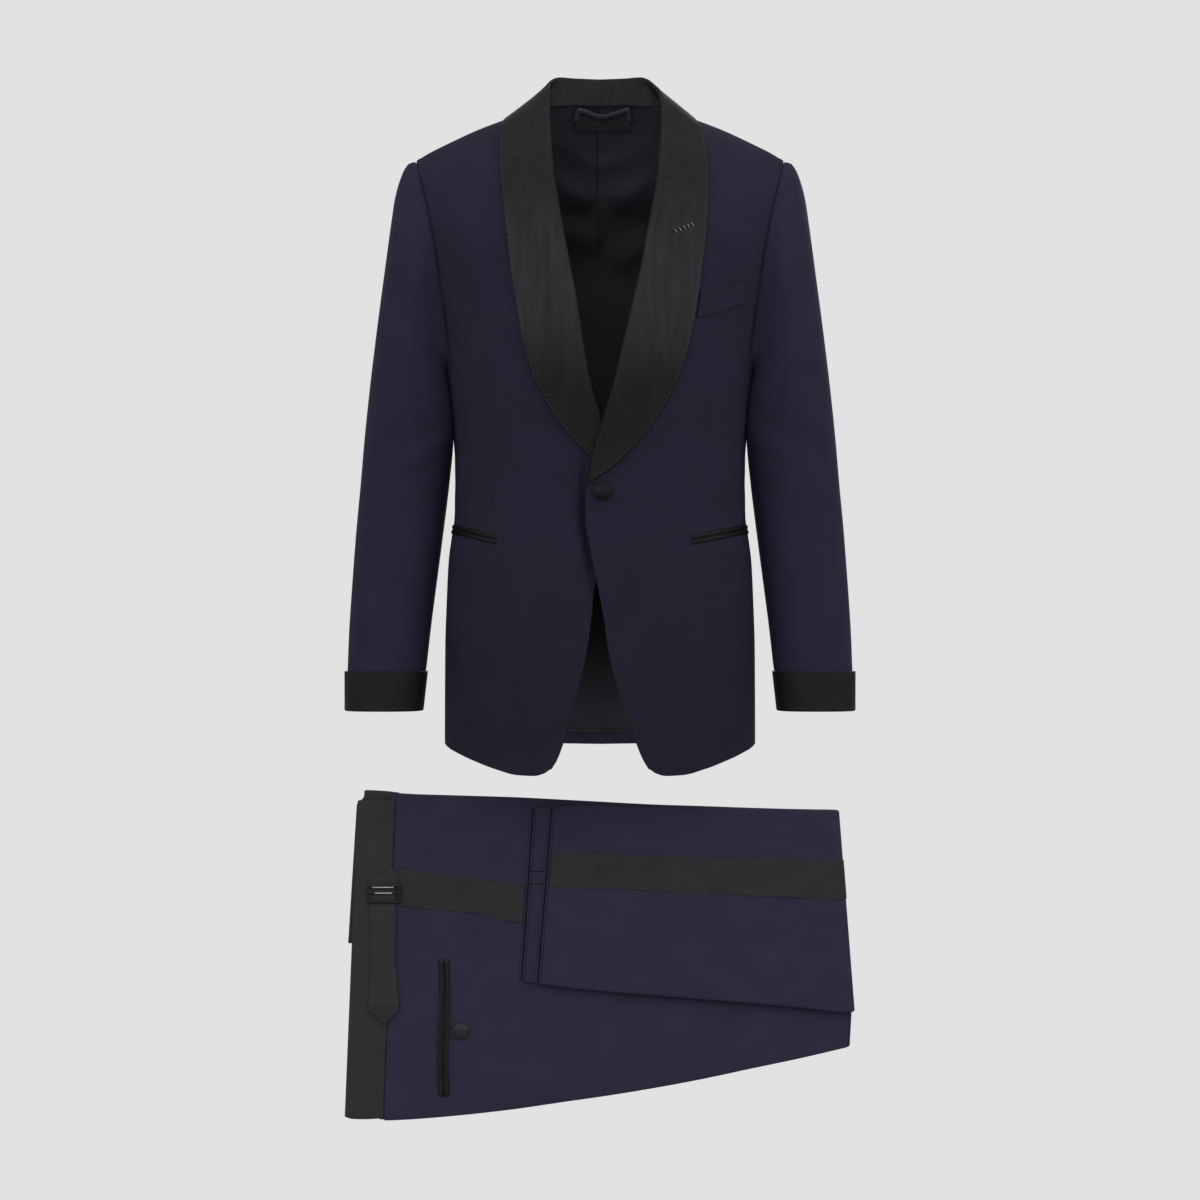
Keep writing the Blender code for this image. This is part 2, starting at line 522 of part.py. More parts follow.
def side_params(columns=4):
    """Places of the underarm panel's grid, hem to armhole, front seam to back seam."""
    rows = []
    for t in LOWER_SHARES:
        row = []
        for c in range(columns):
            s = c / (columns - 1)
            hem_angle = FRONT_SEAM_HEM + (BACK_SEAM_HEM - FRONT_SEAM_HEM) * s
            top_angle = FRONT_SEAM_TOP + (BACK_SEAM_TOP - FRONT_SEAM_TOP) * s
            low = hem_z(hem_angle)
            z = low + (curve(ARMHOLE_BASE["angle"], ARMHOLE_BASE["z"], top_angle) - low) * t
            front = seam_angle(z, FRONT_SEAM_TOP, FRONT_SEAM_HEM)
            back = seam_angle(z, BACK_SEAM_TOP, BACK_SEAM_HEM)
            row.append((front + (back - front) * s, z))
        rows.append(row)
    return rows


def panel_points(params, side, shift=0.0, shoulder=True):
    """Points at places on one side of the body, moved out along its surface's normal."""
    grid = []
    for i, row in enumerate(params):
        line = []
        for angle, z in row:
            point, normal = body(angle, z), body_normal(angle, z)
            if shoulder and i == len(params) - 1 and abs(point[1] - SHOULDER_Y) < 0.002:
                normal = np.array(SHOULDER_MITRE)
            x = point[0]
            point = point + normal * (shift + (lap_of(x, z, side) if abs(angle) < 90 else 0.0))
            line.append(point * (side, 1, 1))
        grid.append(line)
    return np.array(grid)


def build_fronts():
    for name, side in (("left", 1), ("right", -1)):
        params = front_params(side)
        outer = trim(panel_points(params, side), right=SEAM, last=SEAM)
        inner = trim(panel_points(params, side, -CLOTH), right=SEAM, last=SEAM)
        wall(f"front_{name}", outer, inner, "wool")


def build_sides():
    for name, side in (("left", 1), ("right", -1)):
        params = side_params()
        grids = [trim(panel_points(params, side, shift, False), left=SEAM, right=SEAM)
                 for shift in (0.0, -CLOTH)]
        wall(f"side_{name}", *grids, "wool")


def build_backs():
    for name, side in (("left", 1), ("right", -1)):
        params = back_params()
        grids = [trim(panel_points(params, side, shift), left=SEAM, right=SEAM, last=SEAM)
                 for shift in (0.0, -CLOTH)]
        wall(f"back_{name}", *grids, "wool")


def build_lining():
    """The back lining, in one width from side to side, stopping above the hem."""
    params = back_params()
    grids = []
    for shift in (-LINING_DEPTH, -LINING_DEPTH - LINING_CLOTH):
        left = panel_points(params, 1, shift)[:, :0:-1]
        right = panel_points(params, -1, shift)
        grid = np.concatenate([left, right], axis=1)
        grid = trim(grid, LINING_MARGIN_SIDE, LINING_MARGIN_SIDE, LINING_MARGIN_HEM,
                    LINING_MARGIN_TOP)
        grids.append(grid)
    wall("back_lining", *grids, "lining")


# ---- Collar and lapels ----
def front_point(x, z, side, out):
    angle = angle_at(x, z)
    point, normal = body(angle, z), body_normal(angle, z)
    return (point + normal * (out + lap_of(x, z, side))) * (side, 1, 1)


def lapel_section(lapel, station, side):
    """One section of the lapel: hooked round the front's edge, then flat on the front."""
    values = {key: curve(range(len(lapel[key])), lapel[key], station) for key in lapel}
    roll_x, roll_z = values["roll_x"], values["roll_z"]
    edge_x, edge_z = values["edge_x"], values["edge_z"]
    behind = -CLOTH - FACING_GAP - COLLAR_CLOTH / 2
    above = LAPEL_LIFT + COLLAR_CLOTH / 2
    middle, half = (above + behind) / 2, (above - behind) / 2
    fold_x = roll_x + COLLAR_CLOTH / 2 + half
    width = edge_x - fold_x
    hook = min(LAPEL_HOOK + LAPEL_HOOK_STEP * station, LAPEL_HOOK_MOST, 0.7 * width)
    slope = (edge_z - roll_z) / max(edge_x - roll_x, 1e-6)
    section = [(fold_x + hook, behind), (fold_x + 0.001, behind)]
    for turn in (-55, 0, 55):
        section.append((fold_x - half * math.cos(math.radians(turn)),
                        middle + half * math.sin(math.radians(turn))))
    section += [(fold_x + 0.001 + (width - 0.001) * k, above) for k in (0, 0.27, 0.54, 0.8, 1.0)]
    return [front_point(x, roll_z + (x - roll_x) * slope, side, out) for x, out in section]


def collar_section(i, side):
    """One section of the collar round the neck: the stand, the fold and the fall."""
    key = "roll_x_left" if side > 0 else "roll_x_right"
    roll = np.array([COLLAR[key][i] * side, COLLAR["roll_y"][i], COLLAR["roll_z"][i]])
    x, drop = COLLAR["edge_x"][i], COLLAR["drop"][i]
    z = shoulder_z(x) - abs(drop)
    angle = angle_at(max(x, 1e-6), z, back=drop < 0)
    lift = LIFT + COLLAR_CLOTH / 2 + COLLAR["lift"][i]
    edge = (body(angle, z) + body_normal(angle, z) * lift) * (side, 1, 1)
    foot_x = COLLAR["foot_x"][i]
    if drop < 0:
        foot_z = curve(BACK_NECK["x"], BACK_NECK["z"], foot_x)
        foot = body(angle_at(max(foot_x, 1e-6), foot_z - 1e-5, back=True), foot_z - 1e-5)
    else:
        foot_z = shoulder_z(foot_x) - drop
        foot = body(angle_at(foot_x, foot_z), foot_z)
    inward = np.array([-0.0030, 0, 0.0018]) if i >= 3 else np.array([0, 0, 0.0012])
    foot = (foot + inward) * (side, 1, 1)
    out = edge - foot
    out = out / np.linalg.norm(out)
    up = roll - foot
    up = up / np.linalg.norm(up)
    centre = roll - up * COLLAR_FOLD
    section = [foot, foot + (centre - foot) * 0.6]
    for turn in (-60, 0, 60):
        section.append(centre + COLLAR_FOLD * (up * math.cos(math.radians(turn))
                                               + out * math.sin(math.radians(turn))))
    start = centre + out * COLLAR_FOLD
    for k in (0.06, 0.27, 0.54, 0.8, 1.0):
        section.append(start + (edge - start) * k + (out + up) * COLLAR_SWELL * 4 * k * (1 - k))
    return section


def build_collars():
    for name, side in (("left", 1), ("right", -1)):
        lapel = LEFT_LAPEL if side > 0 else RIGHT_LAPEL
        stations = [0, 0.5, 1, 1.5] + list(range(2, len(lapel["roll_x"])))
        neck = [collar_section(i, side) for i in range(5)]
        front = [lapel_section(lapel, station, side) for station in stations]
        controls = np.array(neck + [front[0], front[2]])
        upper = through(controls, (0, 0.6, 1.2, 1.8, 2.4, 3.0, 3.5, 4.0, 4.5))
        grid = np.concatenate([upper, np.array(front)])
        grid = trim(grid, first=SEAM)
        grid[0, :, 0] = SEAM * side
        normal = grid_normals(grid) * (COLLAR_CLOTH / 2)
        normal[0, :, 0] = 0.0
        wall(f"collar_{name}", grid + normal, grid - normal, "satin")


# ---- Sleeves ----
def armhole_loop():
    """The armhole's points by the angle round it: 0 at the shoulder, 90 in front, 180 below."""
    line = []
    for z in np.linspace(SHOULDER_POINT_Z, FRONT_SEAM_TOP_Z, 9):
        x = curve(ARMHOLE_FRONT["z"], ARMHOLE_FRONT["x"], z)
        line.append(body(angle_at(x, z), z))
    for angle in np.linspace(FRONT_SEAM_TOP + 4, BACK_SEAM_TOP - 4, 9):
        line.append(body(angle, curve(ARMHOLE_BASE["angle"], ARMHOLE_BASE["z"], angle)))
    for z in np.linspace(BACK_SEAM_TOP_Z, SHOULDER_POINT_Z, 9)[:-1]:
        x = curve(ARMHOLE_BACK["z"], ARMHOLE_BACK["x"], z)
        line.append(body(angle_at(x, z, back=True), z))
    line = np.array(line)
    forward = -(line[:, 1] - ARMHOLE_MIDDLE[0]) / ARMHOLE_RADII[0]
    upward = (line[:, 2] - ARMHOLE_MIDDLE[1]) / ARMHOLE_RADII[1]
    turn = np.degrees(np.arctan2(forward, upward)) % 360
    turn[0] = 0.0
    order = np.argsort(turn)
    return turn[order], line[order]


def sleeve_ring(row, side):
    """One section of the sleeve, with the points counted from its outer line towards the front."""
    turns, loop = armhole_loop()

    def ellipse(i, alpha):
        inner = np.array([SLEEVE["in_x"][i], SLEEVE["mid_y"][i], SLEEVE["in_z"][i]])
        outer = np.array([SLEEVE["out_x"][i], SLEEVE["mid_y"][i], SLEEVE["out_z"][i]])
        return ((inner + outer) / 2 + (outer - inner) / 2 * math.cos(alpha)
                + np.array([0, -SLEEVE["depth"][i], 0]) * math.sin(alpha))

    ring = []
    for c in range(SLEEVE_SIDES):
        degrees = 360 * c / SLEEVE_SIDES
        alpha = math.radians(degrees)
        on_loop = np.array([np.interp(degrees, turns, loop[:, k], period=360) for k in range(3)])
        on_loop[0] += SLEEVE_EASE
        share = SLEEVE["armhole"][row]
        point = ellipse(row, alpha) + (on_loop - ellipse(0, alpha)) * share
        ring.append(point * (side, 1, 1))
    return ring


def sleeve_grid(side):
    return np.array([sleeve_ring(i, side) for i in range(len(SLEEVE["in_x"]))])


def sleeve_normals(grid):
    normal = grid_normals(grid, wrap=True)
    centre = grid.mean(axis=1, keepdims=True)
    sign = np.sign(np.sum(normal * (grid - centre)))
    return normal * sign


def build_sleeves():
    for name, side in (("left", 1), ("right", -1)):
        outer = sleeve_grid(side)
        inner = outer - sleeve_normals(outer) * CLOTH
        first = TOP_SLEEVE_START % SLEEVE_SIDES
        top = [(first + k) % SLEEVE_SIDES for k in range(TOP_SLEEVE_SIDES + 1)]
        under = [(top[-1] + k) % SLEEVE_SIDES for k in range(SLEEVE_SIDES - TOP_SLEEVE_SIDES + 1)]
        for piece, columns in (("top", top), ("under", under)):
            grids = [trim(grid[:, columns], left=SEAM, right=SEAM) for grid in (outer, inner)]
            wall(f"{piece}_sleeve_{name}", *grids, "wool")


def build_cuffs():
    for name, side in (("left", 1), ("right", -1)):
        sleeve = sleeve_grid(side)
        normal = sleeve_normals(sleeve)
        grids = []
        for out in (CUFF_GAP + CUFF_CLOTH, CUFF_GAP):
            grid = []
            for z in (CUFF_TOP_Z, (CUFF_TOP_Z + CUFF_END_Z) / 2, CUFF_END_Z):
                share = (z - sleeve[-2, 0, 2]) / (sleeve[-1, 0, 2] - sleeve[-2, 0, 2])
                ring = sleeve[-2] + (sleeve[-1] - sleeve[-2]) * share + normal[-1] * out
                ring[:, 2] = z
                grid.append(ring)
            grids.append(np.array(grid))
        wall(f"cuff_{name}", *grids, "satin", wrap=True)


# ---- Small pieces of the jacket ----
def build_pockets():
    for name, side, table in (("left", 1, LEFT_POCKET), ("right", -1, RIGHT_POCKET)):
        outer, inner = [], []
        for angle in np.linspace(table["angle"][0], table["angle"][-1], 9):
            z = curve(table["angle"], table["z"], angle)
            places = [(angle, z + offset) for offset in JET_PROFILE["offset"]]
            inner.append(panel_points([places], side, JET_LIFT, False)[0])
            outer.append([panel_points([[place]], side, JET_LIFT + height, False)[0, 0]
                          for place, height in zip(places, JET_PROFILE["height"])])
        wall(f"hip_jets_{name}", outer, inner, "satin")


def build_welt():
    grids = []
    for out in (LIFT + WELT_CLOTH, LIFT):
        grid = []
        for x in np.linspace(WELT["x"][0], WELT["x"][-1], 6):
            low, high, lean = [curve(WELT["x"], WELT[key], x) for key in ("low", "high", "lean")]
            grid.append([front_point(x + lean * s, low + (high - low) * s, 1, out)
                         for s in (0, 0.5, 1)])
        grids.append(np.array(grid))
    wall("chest_welt", *grids, "wool")


def dome(name, seat, button):
    """A covered button: a flat back, a rounded rim and a low dome, facing -Y."""
    sides, height = button["sides"], button["height"]
    turns = [2 * math.pi * k / sides for k in range(sides)]
    bm = bmesh.new()
    rings = []
    for share, rise in zip(BUTTON_PROFILE["radius"], BUTTON_PROFILE["height"]):
        radius = button["radius"] * share
        rings.append([bm.verts.new((seat[0] + radius * math.cos(turn), seat[1] - height * rise,
                                    seat[2] + radius * math.sin(turn))) for turn in turns])
    tip = bm.verts.new((seat[0], seat[1] - height, seat[2]))
    for low, high in zip(rings, rings[1:]):
        for k in range(sides):
            m = (k + 1) % sides
            bm.faces.new((low[k], low[m], high[m], high[k]))
    for k in range(sides):
        bm.faces.new((rings[-1][k], rings[-1][(k + 1) % sides], tip))
    bm.faces.new(rings[0][::-1])
    return add_object(name, bm, "satin")


def build_button():
    dome("front_button", front_point(FRONT_BUTTON["x"], FRONT_BUTTON["z"], 1, LIFT), FRONT_BUTTON)


def inside_strip(name, strip, material, columns=7):
    """A strip that lies inside the back of the neck, on the lining or hanging before it."""
    depth = LINING_DEPTH + LINING_CLOTH + strip["depth"]
    grids = []
    for out in (-depth, -depth - strip["cloth"]):
        grid = []
        for share in np.linspace(0, 1, columns):
            x = strip["x"][0] + (strip["x"][1] - strip["x"][0]) * share
            sag = strip["sag"] * math.sin(math.pi * share)
            row = []
            for z in np.linspace(strip["low"] - sag, strip["high"] - sag, strip["levels"]):
                angle = angle_at(x if abs(x) > 1e-5 else 1e-5, z, back=True)
                row.append(body(angle, z) + body_normal(angle, z) * out)
            grid.append(row)
        grids.append(np.array(grid))
    wall(name, *grids, material)


def build_neck_trims():
    inside_strip("label_patch", LABEL, "label")
    inside_strip("hanger_loop", HANGER_LOOP, "wool")


# ---- Folded trousers ----
def leg_path(hem_top_x, hem_bottom_x, thigh_y, shin_y, waist_x, knee_inset):
    """Sections of a folded leg from the waist over the knee fold to the hem.

    Each section is its top and bottom point in the plane and its place in depth."""
    def line(share, top_x, bottom_x, table, y):
        x_t = top_x[0] + (top_x[1] - top_x[0]) * share
        x_b = bottom_x[0] + (bottom_x[1] - bottom_x[0]) * share
        return (x_t, curve(table["x"], table["top"], x_t),
                x_b, curve(table["x"], table["bottom"], x_b), y)

    knee_t, knee_b = KNEE_TOP_X - knee_inset, KNEE_BOTTOM_X - knee_inset
    turn = (thigh_y - shin_y) / 2
    thigh = [line(share, (waist_x[0], knee_t - turn), (waist_x[1], knee_b - turn), THIGH, thigh_y)
             for share in THIGH_SHARES]
    shin = [line(share, (hem_top_x, knee_t - turn), (hem_bottom_x, knee_b - turn), SHIN, shin_y)
            for share in SHIN_SHARES]
    return thigh, shin, turn


def ring_of(x_t, z_t, x_b, z_b, y, thick, along_y=(0.0, 1.0)):
    """A flattened tube's section: two flat sides and two round edges."""
    half = thick / 2
    top, bottom = np.array([x_t, y, z_t]), np.array([x_b, y, z_b])
    way = (bottom - top) / np.linalg.norm(bottom - top)
    out = np.array([along_y[0], along_y[1], 0.0])
    ring = []
    for degrees in (90, 135, 180, 225, 270):
        r = math.radians(degrees)
        ring.append(top + way * half + way * half * math.cos(r) + out * half * math.sin(r))
    length = np.linalg.norm(bottom - top)
    for s in (0.3, 0.65):
        ring.append(top + way * length * s - out * half)
    for degrees in (270, 315, 0, 45, 90):
        r = math.radians(degrees)
        ring.append(bottom - way * half + way * half * math.cos(r) + out * half * math.sin(r))
    for s in (0.65, 0.3):
        ring.append(top + way * length * s + out * half)
    return ring


def tube(name, rings, material):
    """A closed solid through a list of rings, with both ends capped."""
    bm = bmesh.new()
    loops = [[bm.verts.new(p) for p in ring] for ring in rings]
    count = len(loops[0])
    for a, b in zip(loops, loops[1:]):
        for k in range(count):
            m = (k + 1) % count
            bm.faces.new((a[k], a[m], b[m], b[k]))
    for loop in (loops[0], loops[-1]):
        bmesh.ops.triangle_fill(bm, use_beauty=True, edges=[
            e for e in bm.edges if len(e.link_faces) == 1
            and e.verts[0] in loop and e.verts[1] in loop])
    return add_object(name, bm, material)


def build_leg(name, hems, thigh_y, shin_y, waist_x, knee_inset):
    thigh, shin, turn = leg_path(*hems, thigh_y, shin_y, waist_x, knee_inset)
    rings = [ring_of(*section, LAYER) for section in thigh]
    end, start = thigh[-1], shin[0]
    for degrees in KNEE_TURNS:
        r = math.radians(degrees)
        share = degrees / 180
        middle_y = (thigh_y + shin_y) / 2
        section = [a + (b - a) * share for a, b in zip(end[:4], start[:4])]
        section[0] += turn * math.sin(r)
        section[2] += turn * math.sin(r)
        rings.append(ring_of(*section, middle_y + turn * math.cos(r), LAYER,
                             (math.sin(r), math.cos(r))))
    rings += [ring_of(*section, LAYER, (0.0, -1.0)) for section in shin]
    return tube(name, rings, "wool")


def depth_of(layer):
    """The middle of a layer of the folded trousers, counted from the flat underside."""
    return BACK_Y - LAYER / 2 - layer * (LAYER + LAYER_GAP)


def front_of(layer):
    """The front face of a layer of the folded trousers."""
    return depth_of(layer) - LAYER / 2


def columns_of(table):
    """A table's columns of points as rows: top x, top z, bottom x, bottom z."""
    return list(zip(table["top_x"], table["top_z"], table["bottom_x"], table["bottom_z"]))


def build_legs():
    build_leg("far_leg", (FAR_HEM_TOP_X, FAR_HEM_BOTTOM_X), depth_of(0), depth_of(3),
              FAR_WAIST_X, 0.0)
    build_leg("near_leg", (NEAR_HEM_TOP_X, NEAR_HEM_BOTTOM_X), depth_of(1), depth_of(2),
              NEAR_WAIST_X, NEAR_KNEE_INSET)


def slab(name, table, y_front, y_back):
    """A flat piece with round edges, through a table's columns of points."""
    rings = [ring_of(*column, (y_front + y_back) / 2, y_back - y_front)
             for column in columns_of(table)]
    return tube(name, rings, "satin")


def build_waistband():
    """Both halves of the waistband, flattened, and joined where they fold at front and back."""
    near = slab("waistband", WAISTBAND_NEAR, front_of(1) - WAISTBAND_PROUD,
                front_of(1) + LAYER + WAISTBAND_LAP)
    far = slab("waistband_far", WAISTBAND_FAR, front_of(0), front_of(0) + LAYER)
    union = near.modifiers.new("join the halves", "BOOLEAN")
    union.operation = "UNION"
    union.object = far
    far.hide_render = True
    far.display_type = "WIRE"


def flat_strip(name, table, y_back, cloth):
    """A strip on the folded trousers, three points across."""
    grids = []
    for y in (y_back - cloth, y_back):
        grids.append(np.array([[(top_x + (bottom_x - top_x) * share, y,
                                 top_z + (bottom_z - top_z) * share) for share in (0, 0.5, 1)]
                               for top_x, top_z, bottom_x, bottom_z in columns_of(table)]))
    return wall(name, *grids, "satin")


def build_stripes():
    flat_strip("stripe_thigh", STRIPE_THIGH, front_of(1) - TRIM_GAP, TRIM_CLOTH)
    flat_strip("stripe_shin", STRIPE_SHIN, front_of(3) - TRIM_GAP, TRIM_CLOTH)


def build_adjuster():
    flat_strip("side_adjuster", STRAP, front_of(1) - STRAP_GAP, STRAP_CLOTH)


def bar(name, low, high):
    """A plain bar between two corners."""
    bm = bmesh.new()
    for vert in bmesh.ops.create_cube(bm, size=1.0)["verts"]:
        vert.co = [(l + h) / 2 + c * (h - l) for l, h, c in zip(low, high, vert.co)]
    return add_object(name, bm, "metal")


def build_buckle():
    """The slide buckle: a plate with two slots, which leave two rails and the middle bar."""
    y_back = front_of(1) - STRAP_GAP - STRAP_CLOTH - TRIM_GAP
    y_front = y_back - BUCKLE["thick"]
    (x_low, x_high), (z_low, z_high) = BUCKLE["x"], BUCKLE["z"]
    plate = bar("adjuster_buckle", (x_low, y_front, z_low), (x_high, y_back, z_high))
    slot_low_x, slot_high_x = BUCKLE["slot_x"]
    for low_z, high_z in zip(BUCKLE_SLOTS["low_z"], BUCKLE_SLOTS["high_z"]):
        cutter = bar("buckle_slot", (slot_low_x, y_front - BUCKLE["thick"], low_z),
                     (slot_high_x, y_back + BUCKLE["thick"], high_z))
        cutter.hide_render = True
        cutter.display_type = "WIRE"
        cut = plate.modifiers.new("slot", "BOOLEAN")
        cut.operation = "DIFFERENCE"
        cut.object = cutter


def build_back_pocket():
    y_back = front_of(1) - TRIM_GAP
    inner, outer = [], []
    for share in np.linspace(0, 1, 9):
        z = BACK_POCKET_TOP_Z - BACK_POCKET_LENGTH * share
        x = BACK_POCKET_X + BACK_POCKET_BOW * math.sin(2 * math.pi * share)
        inner.append([(x + offset, y_back, z) for offset in BACK_JETS["offset"]])
        outer.append([(x + offset, y_back - height, z)
                      for offset, height in zip(BACK_JETS["offset"], BACK_JETS["height"])])
    wall("back_pocket_jets", outer, inner, "satin")
    dome("pocket_button", (POCKET_BUTTON["x"], y_back, POCKET_BUTTON["z"]), POCKET_BUTTON)


def main():
    for thing in list(bpy.data.objects):
        bpy.data.objects.remove(thing)
    build_fronts()
    build_sides()
    build_backs()
    build_lining()
    build_collars()
    build_sleeves()
    build_cuffs()
    build_pockets()
    build_welt()
    build_button()
    build_neck_trims()
    build_legs()
    build_waistband()
    build_stripes()
    build_adjuster()
    build_buckle()
    build_back_pocket()


main()
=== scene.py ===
# Navy tuxedo: a one-button jacket with a shawl collar, open and filled out as if worn,
# and its trousers, folded flat in one upright plane below it.
# Metres, +Z up, the front faces -Y. Left and right are the wearer's, so left is +X.
import math

import bpy
import numpy as np
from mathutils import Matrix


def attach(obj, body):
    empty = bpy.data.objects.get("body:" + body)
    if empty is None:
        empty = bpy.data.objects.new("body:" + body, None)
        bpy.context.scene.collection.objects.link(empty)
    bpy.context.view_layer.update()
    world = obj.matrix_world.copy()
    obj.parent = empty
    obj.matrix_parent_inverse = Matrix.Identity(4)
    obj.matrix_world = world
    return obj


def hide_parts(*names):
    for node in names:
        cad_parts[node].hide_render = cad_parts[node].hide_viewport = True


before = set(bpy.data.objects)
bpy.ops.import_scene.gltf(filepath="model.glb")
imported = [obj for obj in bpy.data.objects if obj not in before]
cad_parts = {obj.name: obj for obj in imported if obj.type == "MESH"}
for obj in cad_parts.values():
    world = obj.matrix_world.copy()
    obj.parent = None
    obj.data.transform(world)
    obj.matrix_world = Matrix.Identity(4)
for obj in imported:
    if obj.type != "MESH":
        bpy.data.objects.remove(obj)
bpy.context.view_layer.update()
bpy.ops.object.select_all(action="DESELECT")
print("packed suit loaded")


# smooth curves through short tables
def slopesOf(x, y):
    step = np.diff(x)
    rise = np.diff(y) / step
    slope = np.zeros(len(x))
    slope[0], slope[-1] = rise[0], rise[-1]
    for i in range(1, len(x) - 1):
        if rise[i - 1] * rise[i] > 0:
            w1, w2 = 2 * step[i] + step[i - 1], step[i] + 2 * step[i - 1]
            slope[i] = (w1 + w2) / (w1 / rise[i - 1] + w2 / rise[i])
    return slope


def curve(xs, ys, at):
    xs, ys = np.asarray(xs, float), np.asarray(ys, float)
    at = np.clip(np.asarray(at, float), xs[0], xs[-1])
    slope = slopesOf(xs, ys)
    i = np.clip(np.searchsorted(xs, at, side="right") - 1, 0, len(xs) - 2)
    h = xs[i + 1] - xs[i]
    t = (at - xs[i]) / h
    return ((1 + 2 * t) * (1 - t) ** 2 * ys[i] + t * (1 - t) ** 2 * h * slope[i]
            + t * t * (3 - 2 * t) * ys[i + 1] + t * t * (t - 1) * h * slope[i + 1])


def through(points, at):
    # the smooth curve through points, at places counted in points
    points = np.asarray(points, float)
    last = len(points) - 1
    out = []
    for t in at:
        i = min(int(t), last - 1)
        f = t - i
        p1, p2 = points[i], points[i + 1]
        p0 = points[i - 1] if i > 0 else 2 * p1 - p2
        p3 = points[i + 2] if i + 2 <= last else 2 * p2 - p1
        out.append(0.5 * (2 * p1 + (p2 - p0) * f + (2 * p0 - 5 * p1 + 4 * p2 - p3) * f ** 2
                          + (3 * p1 - p0 - 3 * p2 + p3) * f ** 3))
    return np.array(out)


def smoothStep(t):
    t = np.clip(t, 0.0, 1.0)
    return t * t * (3 - 2 * t)


def hump(distance, width):
    return np.exp(-(distance / width) ** 2)


def bulge(share):
    # the height of a half round, from its middle at 0 to its edge at 1
    return np.sqrt(np.maximum(0.0, 1 - share ** 2))


def together(*values):
    return np.stack(np.broadcast_arrays(*values), axis=-1)


def unit(ways):
    return ways / np.maximum(np.linalg.norm(ways, axis=-1, keepdims=True), 1e-12)


def runAlong(line):
    # how far it is along a line to each of its points
    return np.concatenate([[0.0], np.cumsum(np.linalg.norm(np.diff(line, axis=0), axis=1))])


def pointAt(places, gone, line, **settings):
    # the points at places along a line, where gone is how far it is to each of its own
    return np.stack([np.interp(places, gone, values, **settings) for values in line.T], axis=-1)


# the body's surface, which every jacket panel is cut to
bodyShape = {
    "z": [-0.770, -0.610, -0.560, -0.510, -0.485, -0.462, -0.440, -0.390, -0.340,
          -0.290, -0.225, -0.165, -0.115, -0.040, 0.080],
    "halfWidth": [0.1825, 0.1818, 0.1802, 0.1778, 0.1747, 0.1714, 0.1706, 0.1704, 0.1748,
                  0.1815, 0.1930, 0.2060, 0.2230, 0.2520, 0.2700],
    "front": [0.1230, 0.1210, 0.1185, 0.1160, 0.1150, 0.1145, 0.1145, 0.1160, 0.1205,
              0.1245, 0.1270, 0.1260, 0.1220, 0.1160, 0.1120],
    "back": [0.1250, 0.1250, 0.1190, 0.1100, 0.1050, 0.1000, 0.0975, 0.0985, 0.1050,
             0.1120, 0.1180, 0.1200, 0.1180, 0.1080, 0.1000],
    "roundness": 2.4,
    "shoulderX": [0.000, 0.040, 0.080, 0.110, 0.145, 0.176, 0.205, 0.217, 0.240],
    "shoulderZ": [0.0600, 0.0430, 0.0262, 0.0134, -0.0002, -0.0145, -0.0292, -0.0368, -0.0495],
    "shoulderY": 0.012,
    "frontClose": 0.17,
    "backClose": 0.14,
}


def shoulderHeight(x):
    return curve(bodyShape["shoulderX"], bodyShape["shoulderZ"], np.abs(x))


def bodyPoint(angle, z):
    # angle is in degrees round from the centre front, and left is positive
    angle, z = np.broadcast_arrays(np.asarray(angle, float), np.asarray(z, float))
    turn, power = np.radians(np.abs(angle)), 2 / bodyShape["roundness"]
    x = curve(bodyShape["z"], bodyShape["halfWidth"], z) * np.abs(np.sin(turn)) ** power
    inFront = turn <= math.pi / 2
    depth = np.where(inFront, -curve(bodyShape["z"], bodyShape["front"], z),
                     curve(bodyShape["z"], bodyShape["back"], z))
    ring = depth * np.abs(np.cos(turn)) ** power
    height = np.where(inFront, bodyShape["frontClose"], bodyShape["backClose"])
    opened = np.clip((shoulderHeight(x) - z) / height, 0.0, 1.0)
    opened = (1 - (1 - opened) ** 2.2) ** 0.85
    y = bodyShape["shoulderY"] + (ring - bodyShape["shoulderY"]) * opened
    return np.stack([np.copysign(x, angle), y, z], axis=-1)


def angleAt(x, z, back=False):
    half = curve(bodyShape["z"], bodyShape["halfWidth"], z)
    share = np.minimum(1.0, np.abs(x) / half) ** (bodyShape["roundness"] / 2)
    turn = np.degrees(np.arcsin(share))
    return np.copysign(180 - turn if back else turn, x)


def bodyNormal(angle, z):
    angle, z = np.broadcast_arrays(np.asarray(angle, float), np.asarray(z, float))
    near = np.clip(np.abs(angle), 1.5, 178.5) * np.copysign(1.0, angle)
    across = bodyPoint(near + 1.0, z) - bodyPoint(near - 1.0, z)
    down = bodyPoint(near, z - 0.004) - bodyPoint(near, z - 0.0005)
    normal = np.cross(down, across)
    middle = (np.abs(angle) < 1.5) | (np.abs(angle) > 178.5)
    normal[..., 0] = np.where(middle, 0.0, normal[..., 0])
    normal = unit(normal)
    outward = bodyPoint(near, z) - together(0.0, bodyShape["shoulderY"], z)
    return normal * np.where(np.sum(normal * outward, axis=-1, keepdims=True) >= 0, 1, -1)


# small helpers for nodes and finishes
def linear(text):
    values = [int(text[i:i + 2], 16) / 255 for i in (1, 3, 5)]
    return tuple(v / 12.92 if v <= 0.04045 else ((v + 0.055) / 1.055) ** 2.4 for v in values) + (1,)


def addNode(tree, kind, inputs=None, **settings):
    node = tree.nodes.new(kind)
    for key, value in settings.items():
        setattr(node, key, value)
    for key, value in (inputs or {}).items():
        if isinstance(value, bpy.types.NodeSocket):
            tree.links.new(value, node.inputs[key])
        else:
            node.inputs[key].default_value = value
    return node


